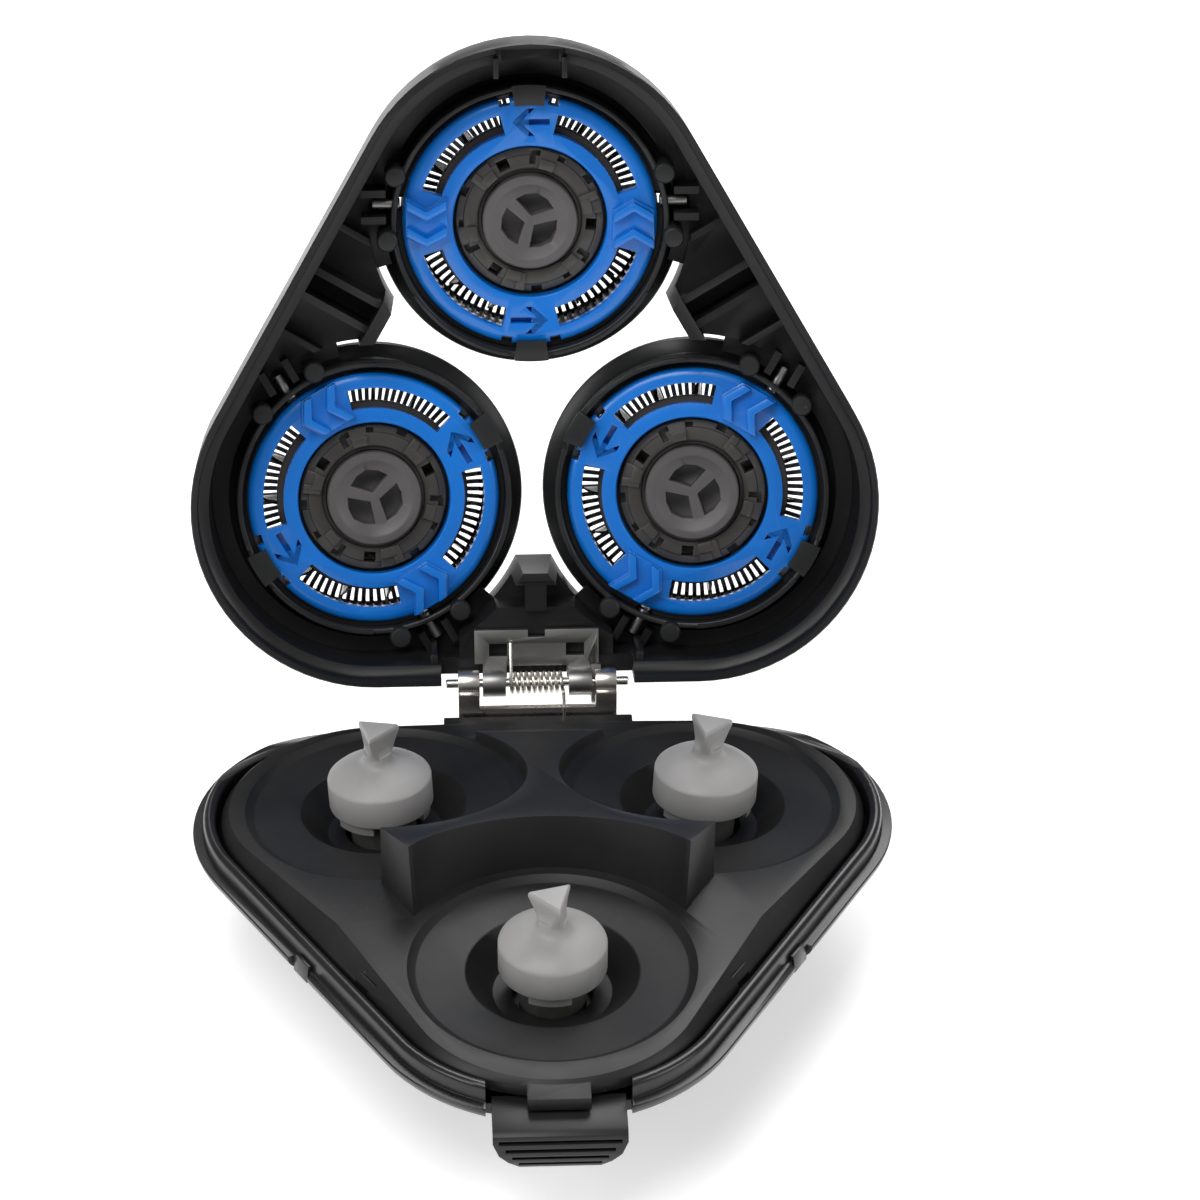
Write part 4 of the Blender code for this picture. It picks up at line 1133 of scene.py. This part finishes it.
@dataclass
class HingeSet(Assembly):
    """The two pressed brackets, the pin, the torsion spring and the latch spring."""

    layout: Layout
    palette: Palette
    rep: Repeaters
    pin_r: float = 0.42
    pin_half: float = 8.55
    knuckle_r: float = 1.28
    bore_r: float = 0.76

    def build(self) -> None:
        """Build and mount the pieces."""
        lid = self.layout.open_lid()
        self.mount(self._lower(), "hinge_lower", Paint.BRIGHT, "base", ["hinge_bracket_lower"])
        self.mount(self._upper(), "hinge_upper", Paint.SATIN, "lid", ["hinge_bracket_upper"], lid)
        pin = Shape.rod("pin", self.pin_r, -self.pin_half, self.pin_half, 32, 0.1).move(self._axis())
        self.mount(pin, "hinge_axle", Paint.BRIGHT, "base", ["hinge_pin"])
        self.mount(self._torsion(), "hinge_torsion_spring", Paint.BRIGHT, "base", ["hinge_spring"])
        seed = Shape.box("latch_coil", (0, 0.1), (0, 0.1), (0, 0.1))
        self.rep.apply(seed, self.rep.coil, Turns=6.0, Radius=0.7, Height=3.9, Wire=0.14)
        seed.move(shift(0, -26.7, 11.45) @ turn(90, "X"))
        self.mount(seed, "latch_return_spring", Paint.BRIGHT, "base", ["latch_spring"])

    def _axis(self) -> Matrix:
        """Carries local Z to the hinge axis."""
        return shift(0, self.layout.hinge_y, self.layout.hinge_z) @ turn(90, "Y")

    def _knuckle(self, x0: float, x1: float) -> Shape:
        """Rolled eye between two places along the pin."""
        return Shape.rod("knuckle", self.knuckle_r, x0, x1, 40).move(self._axis())

    def _bore(self) -> Shape:
        """Hole for the pin."""
        return Shape.rod("bore", self.bore_r, -12, 12, 40).move(self._axis())

    def _lower(self) -> Shape:
        """Bright bracket on the base."""
        hy, hz = self.layout.hinge_y, self.layout.hinge_z
        y0, low = hy - 1.75, hz - 2.1
        plate = Shape.box("lower", (-7.4, 7.4), (y0, y0 + 0.6), (11.2, hz - 1.7))
        ears = [Shape.box("ear", (x - 1.0, x + 1.0), (y0, hy - 0.2), (low, hz - 0.2)) for x in (-6.4, 6.4)]
        plate.fuse(*ears)
        plate.fuse(self._knuckle(-7.4, -5.4), self._knuckle(5.4, 7.4))
        plate.cut(self._bore(), Shape.box("mid", (-2.0, 2.0), (y0 - 1, y0 + 2), (10.2, 12.0)))
        return plate.bevel(0.1, 2)

    def _upper(self) -> Shape:
        """Satin bracket on the lid, drawn closed."""
        hy, z0 = self.layout.hinge_y, self.layout.hinge_z + 0.66
        plate = Shape.box("upper", (-5.8, 5.8), (hy - 4.9, hy - 0.3), (z0, z0 + 0.6))
        plate.fuse(self._knuckle(-5.1, -2.95), self._knuckle(2.95, 5.1))
        through = (z0 - 1, z0 + 2)
        cuts = [self._bore(), Shape.box("gap", (-2.8, 2.8), (hy - 1.45, hy + 2), through)]
        for s in (-1, 1):
            hole, step = s * 3.6, s * 5.5
            cuts.append(Shape.box("hole", (hole - 0.85, hole + 0.85), (hy - 3.6, hy - 2.4), through))
            cuts.append(Shape.box("step", (step - 0.45, step + 0.45), (hy - 1.7, hy + 2), through))
        cuts.append(Shape.box("notch", (-0.8, 0.8), (hy - 6, hy - 4.2), through))
        plate.cut(*cuts)
        return plate.bevel(0.1, 2)

    def _torsion(self) -> Shape:
        """Spring round the pin, with a leg on each bracket."""
        turns, per = 9, 20
        a0 = math.radians(150)
        n = turns * per + int(per * 3 / 8)
        pts: list[Point] = []
        for i in range(n + 1):
            a = a0 + 2 * math.pi * i / per
            pts.append((-2.45 + 4.9 * i / n, 0.92 * math.cos(a), 0.92 * math.sin(a)))
        lean = math.radians(self.layout.lid_angle)
        up = Vector((0, -math.cos(lean), math.sin(lean)))
        rest = Vector((0, math.sin(lean), math.cos(lean)))
        first, last = Vector(pts[0]), Vector(pts[-1])
        leg_up: list[Point] = [first + up * 3.6 + rest, first + up * 1.0]
        leg_down: list[Point] = [(last.x, -1.3, -0.92), (last.x, -2.22, -1.4), (last.x, -2.22, -2.5)]
        wire = Shape.tube("torsion", leg_up + pts + leg_down, 0.17)
        return wire.move(shift(0, self.layout.hinge_y, self.layout.hinge_z))


# ------------------------------------------------------------------ lid

@dataclass
class LidFrame(Assembly):
    """The frame that carries the three heads, and their pivot pins."""

    layout: Layout
    palette: Palette
    rep: Repeaters
    edge_z: float = 12.6
    wall: float = 1.6
    floor: float = 22.4
    top: float = 25.2
    pod_hole: float = 14.95
    ledge_bore: float = 13.5
    web_inner: float = 15.65
    pivot_out: float = 1.7
    pivot_w: float = 1.0

    def build(self) -> None:
        """Build and mount the frame and the pins."""
        lid = self.layout.open_lid()
        self.mount(self._frame(), "lid_frame", Paint.FRAME, "lid", ["top_frame"], lid)
        for i, head in enumerate(self.layout.heads):
            for k, sign in enumerate((1, -1)):
                pin = Shape.rod("pin", 0.55, 12.0, 14.6, 24, 0.08)
                centre = self.layout.pod(head) @ shift(self.pivot_out, 0, self.pivot_w)
                number = 2 * i + k + 1
                self.mount(pin, f"head_pivot_{number}", Paint.SATIN, "lid", [f"head_pivot_pin_{number}"],
                           centre @ turn(-90 * sign, "X"))

    def _core(self) -> Shape:
        """Open middle between the webs."""
        centre = Vector((0, self.layout.outline_shift, 0))
        tri = [polar(2 * self.web_inner, h) + centre for h in self.layout.heads]
        core = Shape.prism("core", tri, 10, 30)
        out = self.layout.outline
        return core.combine([Shape.loft("keep", [out(self.wall, 9), out(self.wall, 31)])], Mode.KEEP)

    def _additions(self) -> list[Shape]:
        """Edges, ribs, hinge seat and the T on the hinge side."""
        adds, deep = [], self.floor + 0.4
        for side in self.layout.sides:
            m = shift(0, self.layout.outline_shift) @ turn(side)
            w = self.web_inner
            adds.append(Shape.box("edge", (w, w + 1.2), (-4, 4), (17.0, deep)).move(m))
            if side != self.layout.sides[0]:
                for s in (-1, 1):
                    rib, cross = s * 1.3, s * 5.6
                    bars = [Shape.box("rib", (w + 0.6, 24.4), (rib - 0.35, rib + 0.35), (18.0, deep)),
                            Shape.box("cross", (w + 0.4, 24.4), (cross - 0.3, cross + 0.3), (20.4, deep))]
                    adds += [bar.move(m) for bar in bars]
        seat = self.layout.hinge_z + 1.66
        adds.append(Shape.box("seat", (-7.2, 7.2), (18.6, 23.9), (seat, deep)))
        adds.append(Shape.box("stem", (-1.0, 1.0), (15.6, 18.8), (16.9, deep)))
        adds.append(Shape.box("bar", (-2.5, 2.5), (15.0, 15.9), (16.6, deep)))
        return adds

    def _frame(self) -> Shape:
        """The frame, drawn closed."""
        out = self.layout.outline
        edge = self.edge_z
        frame_shape = Shape.loft("lid_frame", [
            out(0.12, edge), out(0.0, edge + 0.15), out(0, 16.0), out(0, 20.0), out(0.1, 21.2),
            out(0.35, 22.3), out(0.8, 23.4), out(1.4, 24.25), out(2.1, 24.85), out(2.9, 25.12),
            out(3.8, self.top), out(8.0, self.top),
        ])
        room = Shape.loft("room", [
            out(0.55, edge - 1), out(0.6, edge), out(0.65, edge + 0.2), out(0.65, 14.1), out(0.85, 14.3),
            out(self.wall, 14.5), out(self.wall, self.floor),
        ])
        frame_shape.cut(room)
        frame_shape.fuse(*self._additions())
        frame_shape.cut(self._core())
        pod = self.layout.pod_closed
        heads = self.layout.heads
        frame_shape.cut(*[Shape.rod("pod", self.pod_hole, -14, 12, 120).move(pod(h)) for h in heads])
        lugs, reach = [], (self.ledge_bore, self.pod_hole + 0.7)
        for head in heads:
            for s in (-1, 1):
                flip = turn(180, "X") @ shift(0, 0, -2 * self.pivot_w) if s < 0 else Matrix()
                for t in (-1, 1):
                    x = self.pivot_out + t * 1.25
                    lug = Shape.box("lug", (x - 0.35, x + 0.35), (13.3, 15.6),
                                    (self.pivot_w - 1.6, self.pivot_w + 1.5))
                    lugs.append(lug.move(pod(head) @ flip))
            lugs.append(Shape.sector("ledge", reach, (-88.5, 88.5), (2.15, 2.65), 60).move(pod(head)))
            for span in ((-108, -87.5), (87.5, 108)):
                lugs.append(Shape.sector("ledge", reach, span, (1.75, 2.25), 12).move(pod(head)))
        frame_shape.fuse(*lugs)
        hy, hz = self.layout.hinge_y, self.layout.hinge_z
        frame_shape.cut(Shape.box("gap", (-8.95, 8.95), (hy - 2.6, hy + 4), (10, hz + 1.6)),
                        Shape.box("catch", (-2.6, 2.6), (-33.9, -30), (10, 15.6)),
                        Shape.box("tongue_way", (-3.15, 3.15), (-33.95, -30), (10, 13.9)))
        frame_shape.bevel(0.12, 2, 36.0)
        keepers = []
        for s in (-1, 1):
            side, rib = s * 3.1, s * 9.6
            across = (side - 0.25, side + 0.25)
            keepers.append(Shape.box("catch_side", across, (-33.1, -31.2), (13.6, 17.2)))
            keepers.append(Shape.box("wall_rib", (rib - 0.35, rib + 0.35), (22.4, 23.4), (14.9, 22.6)))
        return frame_shape.join(*[keeper.bevel(0.08) for keeper in keepers])


# ------------------------------------------------------------------ heads

@dataclass
class ShavingHeads(Assembly):
    """Three alike heads: holder, trim, guard, cutter with its carrier, and the blue ring."""

    layout: Layout
    palette: Palette
    rep: Repeaters
    ring_r: float = 11.8
    ring_bore: float = 7.15
    ring_thick: float = 1.3
    cup_r: float = 12.9
    cup_bore: float = 12.35
    flange_r: float = 14.3
    hub_r: float = 6.9
    coupling_r: float = 4.4
    pivot_out: float = 1.7
    pivot_w: float = 1.0
    post_at: float = 13.3
    arrow_depth: float = 0.16
    slits: int = 90
    blades: int = 15
    slot_spans: tuple[tuple[float, float], ...] = ((15, 73), (107, 165), (195, 253), (287, 345))

    def build(self) -> None:
        """Build one head, then mount it three times."""
        kit: list[tuple[Shape, str, Paint, str, str]] = [
            (self._holder(), "holder_cup", Paint.HOLDER, "head", "head_holder"),
            (self._trim(), "holder_trim", Paint.CHROME, "head", "head_trim"),
            (self._guard(), "guard_cap", Paint.GUARD, "head", "head_guard"),
            (self._hub(), "cutter_hub", Paint.HUB, "cutter", "head_cutter_carrier"),
            (self._coupling(), "cutter_coupling", Paint.COUPLING, "cutter", ""),
            (self._cutter(), "cutter_blades", Paint.BLADE, "cutter", "head_blades"),
            (self._ring(), "retaining_ring", Paint.RING, "ring", "head_ring"),
        ]
        for i, head in enumerate(self.layout.heads, 1):
            for shape, name, paint, body, node in kit:
                nodes = [f"{node}_{i}"] if node else []
                spin = turn(self.layout.phases[i - 1] if body == "cutter" else 0.0)
                self.mount(shape.copy(name), f"{name}_{i}", paint, f"{body}_{i}", nodes,
                           self.layout.pod(head) @ spin)
        for shape, *_ in kit:
            shape.drop()

    def _holder(self) -> Shape:
        """Dark cup with its flange, snap posts and bayonet tabs."""
        b, c, f = self.cup_bore, self.cup_r, self.flange_r
        cup = Shape.lathe("holder", [
            (b + 0.05, -0.3), (b + 0.2, -0.38), (c - 0.12, -0.38), (c, -0.26), (c, 2.7), (c + 0.2, 2.95),
            (f - 0.1, 3.35), (f, 3.5), (f, 4.5), (f - 0.1, 4.6), (b + 0.1, 4.6), (b, 4.5), (b, 1.8),
            (b - 0.5, 1.78), (b - 0.5, 1.5),
            (b, 1.48), (b, -0.2),
        ], 120)
        ends = (0, 180)
        adds = [Shape.sector("tab", (11.2, c + 0.2), (a - 7, a + 7), (-1.0, -0.35), 8) for a in ends]
        adds += [Shape.sector("wall", (b + 0.15, c + 0.1), (a - 6, a + 6), (-0.7, 0.2), 8) for a in ends]
        # raised arcs of the rim beside the posts, and the posts that hold the pins
        for a0, a1 in ((10, 58), (122, 170), (190, 238), (302, 350)):
            adds.append(Shape.sector("rim", (b + 0.12, c - 0.08), (a0, a1), (-0.75, 0.0), 20))
        for sy in (-1, 1):
            for sx in (-1, 1):
                x = self.pivot_out + sx * 3.05
                y = sy * math.sqrt(self.post_at ** 2 - x * x)
                adds.append(Shape.rod("post", 0.98, -1.5, 1.4, 32, 0.16).move(shift(x, y)))
        cup.fuse(*adds)
        holes = []
        for s in (-1, 1):
            eye = Shape.rod("eye", 0.9, 10, 16, 24)
            holes.append(eye.move(shift(self.pivot_out, 0, self.pivot_w) @ turn(90 * s, "X")))
        cup.cut(*holes)
        return cup.bevel(0.08, 2)

    def _trim(self) -> Shape:
        """Chrome ring on the shaving side of the flange."""
        f = self.flange_r
        return Shape.lathe("trim", [
            (12.55, 4.95), (f - 0.25, 4.95), (f - 0.1, 5.05), (f - 0.12, 5.3), (f - 0.35, 5.5),
            (13.5, 5.62), (12.7, 5.62), (12.55, 5.5),
        ], 120)

    def _guard(self) -> Shape:
        """Slotted steel cap: bars repeated round the axis between a disc and a skirt."""
        bar = Shape.loft("guard", [[(x, s * 0.2, z) for x, z in (
            (7.3, 6.0), (8.05, 6.5), (10.5, 6.5), (11.0, 6.1), (11.15, 3.9), (11.5, 3.9), (11.5, 6.2),
            (11.2, 6.8), (8.0, 6.85), (7.35, 6.32))] for s in (-1, 1)])
        self.rep.apply(bar, self.rep.ring, Count=self.slits, Start=0.0)
        disc = Shape.lathe("disc", [
            (0, 5.75), (6.6, 5.8), (7.5, 6.0), (7.65, 6.2), (7.55, 6.42), (7.2, 6.36), (6.6, 6.22),
            (5.2, 6.16), (4.9, 6.3), (4.2, 6.34), (0, 6.34),
        ], 96)
        skirt = Shape.lathe("skirt", [
            (11.4, 1.9), (12.0, 1.9), (12.0, 6.2), (11.75, 6.6), (11.3, 6.88), (10.9, 6.88),
            (10.9, 6.6), (11.3, 6.35), (11.45, 6.0), (11.45, 2.2),
        ], 120)
        return bar.join(disc, skirt)

    def _hub(self) -> Shape:
        """Dark hub plate with its clips, slots and square holes."""
        r = self.hub_r
        plate = Shape.lathe("hub", [
            (4.5, 1.2), (4.75, 1.2), (4.85, 0.9), (5.1, 0.85), (6.1, 0.85), (6.2, 1.0), (r - 0.1, 1.05),
            (r, 1.2), (r, 2.1), (8.9, 2.1), (9.0, 2.2), (9.0, 2.8), (8.9, 2.9), (4.5, 2.9),
        ], 96)
        cuts = []
        for k in range(3):
            cuts.append(Shape.box("square", (5.2, 6.2), (-0.55, 0.55), (0, 4)).move(turn(120 * k + 20)))
            cuts.append(Shape.sector("slot", (6.15, 6.6), (120 * k + 48, 120 * k + 76), (0, 1.7), 10))
            slot_foot = Shape.box("slot_foot", (5.3, 6.5), (-0.28, 0.28), (0, 1.7))
            cuts.append(slot_foot.move(turn(120 * k + 48)))
            cuts.append(Shape.box("edge_gap", (6.3, 7.6), (-0.5, 0.5), (0, 1.9)).move(turn(120 * k + 100)))
        plate.cut(*cuts)
        plate.bevel(0.06, 2)
        clip = Shape.sector("clip", (4.95, 6.75), (-7.5, 7.5), (0.45, 1.3), 6)
        clip.cut(Shape.sector("step", (5.9, 7.2), (-9, 9), (0, 0.75), 6))
        clip.bevel(0.06, 2)
        self.rep.apply(clip, self.rep.ring, Count=6, Start=math.radians(62))
        block = Shape.box("block", (5.0, 6.7), (-0.42, 0.42), (0.55, 1.4)).bevel(0.07, 2)
        self.rep.apply(block, self.rep.ring, Count=3, Start=math.radians(-6))
        return plate.join(clip, block)

    def _coupling(self) -> Shape:
        """Dished coupling disc with three pockets round a Y."""
        c = self.coupling_r
        disc = Shape.lathe("coupling", [
            (0, 0.32), (2.35, 0.32), (2.75, 0.26), (3.5, -0.12), (3.68, -0.2), (c - 0.12, -0.2),
            (c, -0.08), (c, 2.7), (0, 2.7),
        ], 96)
        cuts = []
        for k in range(3):
            a = 120 * k
            rim = ((2.5, 13), (2.62, 36), (2.78, 60), (2.62, 84), (2.5, 107), (0.5, 60))
            cuts.append(Shape.prism("pocket", [polar(r, a + b) for r, b in rim], -1.0, 2.3))
        disc.cut(*cuts)
        disc.bevel(0.07, 2, 50.0)
        return disc

    def _cutter(self) -> Shape:
        """Blade ring and the blades, repeated round the axis."""
        blade = Shape.loft("blades", [
            [(8.3, -0.3, 3.3), (8.9, -0.3, 3.3), (8.9, 0.1, 3.3), (8.3, 0.1, 3.3)],
            [(8.3, -0.22, 4.2), (9.6, -0.22, 4.2), (9.6, 0.12, 4.2), (8.3, 0.12, 4.2)],
            [(8.4, 0.1, 5.9), (10.5, 0.1, 5.9), (10.5, 0.32, 5.9), (8.4, 0.32, 5.9)],
        ])
        self.rep.apply(blade, self.rep.ring, Count=self.blades, Start=0.1)
        ring = Shape.lathe("ring", [(7.6, 3.2), (8.8, 3.2), (8.85, 3.3), (8.8, 3.6), (7.6, 3.6)], 96)
        return blade.join(ring)

    @staticmethod
    def _chevron(r0: float, r1: float, t0: float, thick: float, point: float) -> list[Point]:
        """V-shaped band across the ring.

        Args:
            r0: inner radius.
            r1: outer radius.
            t0: tangential place of its tail.
            thick: width of the band.
            point: how far its point leads.

        Returns:
            Outline points (radial, tangential).
        """
        mid = (r0 + r1) / 2
        t1 = t0 + thick
        return [(r0, t0), (mid, t0 + point), (r1, t0), (r1, t1), (mid, t1 + point), (r0, t1)]

    def _ring(self) -> Shape:
        """Blue ring with four slots, two raised handles and two engraved arrows."""
        b, r, t = self.ring_bore, self.ring_r, self.ring_thick
        ring = Shape.lathe("ring", [
            (b, 0.12), (b + 0.1, 0.0), (r - 0.75, 0.0), (r - 0.3, 0.1), (r - 0.06, 0.35), (r, 0.6), (r, t),
            (b, t),
        ], 144)
        cuts = [Shape.sector("slot", (8.5, 10.4), span, (-1, 3), 24) for span in self.slot_spans]
        for a in (0, 180):
            for s in (-1, 1):
                lo, hi = sorted((a + s * 9, a + s * 14))
                cuts.append(Shape.sector("notch", (11.15, 12.6), (lo, hi), (-1, 3), 4))
            arrow = [(-0.28, -1.9), (0.28, -1.9), (0.28, 0.5), (1.3, -0.5), (1.3, 0.25), (0.0, 1.6),
                     (-1.3, 0.25), (-1.3, -0.5), (-0.28, 0.5)]
            place = turn(a) @ shift(9.4) @ turn(180, "X") @ shift(0, 0, -self.arrow_depth)
            cuts.append(Shape.prism("arrow", arrow, -1.0, self.arrow_depth).move(place))
        ring.cut(*cuts)
        ring.bevel(0.07, 2, 40.0)
        parts = []
        for a in (90, 270):
            place = turn(a) @ turn(180, "X")
            plate = Shape.prism("handle", self._chevron(7.6, 11.5, -2.6, 3.7, 1.1), -0.4, 0.55)
            parts.append(plate.bevel(0.1, 2).move(place))
            for tail in (-2.45, 0.05):
                ridge = Shape.prism("ridge", self._chevron(7.7, 11.4, tail, 0.85, 1.1), 0.3, 1.35)
                parts.append(ridge.bevel(0.1, 2).move(place))
        return ring.join(*parts)


# ------------------------------------------------------------------ studio

@dataclass
class Studio:
    """Floor, light and camera."""

    layout: Layout
    eye: Point = (-10.33, -317.9, 239.6)
    aim: Point = (5.51, 18.6, 29.17)
    roll: float = 0.39
    lens: float = 131.4
    exposure: float = 0.0

    def build(self) -> None:
        """Set up the floor, the lights, the world and the camera."""
        self._floor()
        self._lights()
        self._camera()

    def _point(self, p: Point) -> Vector:
        """A base-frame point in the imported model's frame."""
        return self.layout.origin() + Vector(p) * MM

    def _floor(self) -> None:
        """Pale plain floor."""
        bm = bmesh.new()
        bmesh.ops.create_grid(bm, x_segments=1, y_segments=1, size=3.0)
        mesh = bpy.data.meshes.new("floor")
        bm.to_mesh(mesh)
        bm.free()
        floor = bpy.data.objects.new("floor", mesh)
        bpy.context.scene.collection.objects.link(floor)
        floor.location.z = -0.0001
        mat = bpy.data.materials.new("floor_pale")
        mat.use_nodes = True
        bsdf = mat.node_tree.nodes["Principled BSDF"]
        bsdf.inputs["Base Color"].default_value = (0.9, 0.9, 0.9, 1.0)
        bsdf.inputs["Roughness"].default_value = 0.9
        bsdf.inputs["Emission Color"].default_value = (1.0, 1.0, 1.0, 1.0)
        bsdf.inputs["Emission Strength"].default_value = 0.45
        mesh.materials.append(mat)

    def _area(self, name: str, at: Point, aim: Point, size: float, power: float) -> None:
        """A square softbox.

        Args:
            name: name of the light.
            at: its place, in millimetres in the base frame.
            aim: the point that it faces.
            size: edge length in metres.
            power: watts.
        """
        data = bpy.data.lights.new(name, "AREA")
        data.size, data.energy = size, power
        obj = bpy.data.objects.new(name, data)
        bpy.context.scene.collection.objects.link(obj)
        obj.location = self._point(at)
        obj.rotation_euler = (self._point(aim) - obj.location).to_track_quat("-Z", "Y").to_euler()

    def _lights(self) -> None:
        """Bright surround, two softboxes and a high back light."""
        world = bpy.data.worlds.new("surround")
        world.use_nodes = True
        back = world.node_tree.nodes["Background"]
        back.inputs["Color"].default_value = (1.0, 1.0, 1.0, 1.0)
        back.inputs["Strength"].default_value = 0.23
        bpy.context.scene.world = world
        self._area("softbox_top", (-120, -200, 520), (0, 0, 25), 0.30, 1.5)
        self._area("softbox_back", (60, 330, 420), (0, 20, 30), 0.35, 2.2)
        self._area("softbox_left", (-420, -240, 330), (0, 0, 30), 0.25, 1.0)
        self._area("softbox_right", (430, -160, 260), (0, 0, 30), 0.22, 0.7)

    def _camera(self) -> None:
        """Camera with the framing of a product picture."""
        data = bpy.data.cameras.new("camera")
        data.sensor_width, data.lens, data.clip_start = 36.0, self.lens, 0.01
        cam = bpy.data.objects.new("camera", data)
        bpy.context.scene.collection.objects.link(cam)
        eye, aim = self._point(self.eye), self._point(self.aim)
        look = (aim - eye).to_track_quat("-Z", "Y").to_matrix().to_4x4()
        cam.matrix_world = Matrix.Translation(eye) @ look @ turn(self.roll)
        bpy.context.scene.camera = cam
        view = bpy.context.scene.view_settings
        view.view_transform, view.look, view.exposure = "Standard", "None", self.exposure


def main() -> None:
    """Build every sub-assembly in order."""
    logging.basicConfig(level=logging.INFO, format="%(name)s %(message)s")
    layout, palette, repeaters = Layout(), Palette(), Repeaters()
    makers: list[Callable[[Layout, Palette, Repeaters], Assembly]] = [
        BaseHousing, DriveTrain, HingeSet, LidFrame, ShavingHeads,
    ]
    for maker in makers:
        maker(layout, palette, repeaters).build()
    Studio(layout).build()
    bpy.context.view_layer.update()


if __name__ == "__main__":
    main()
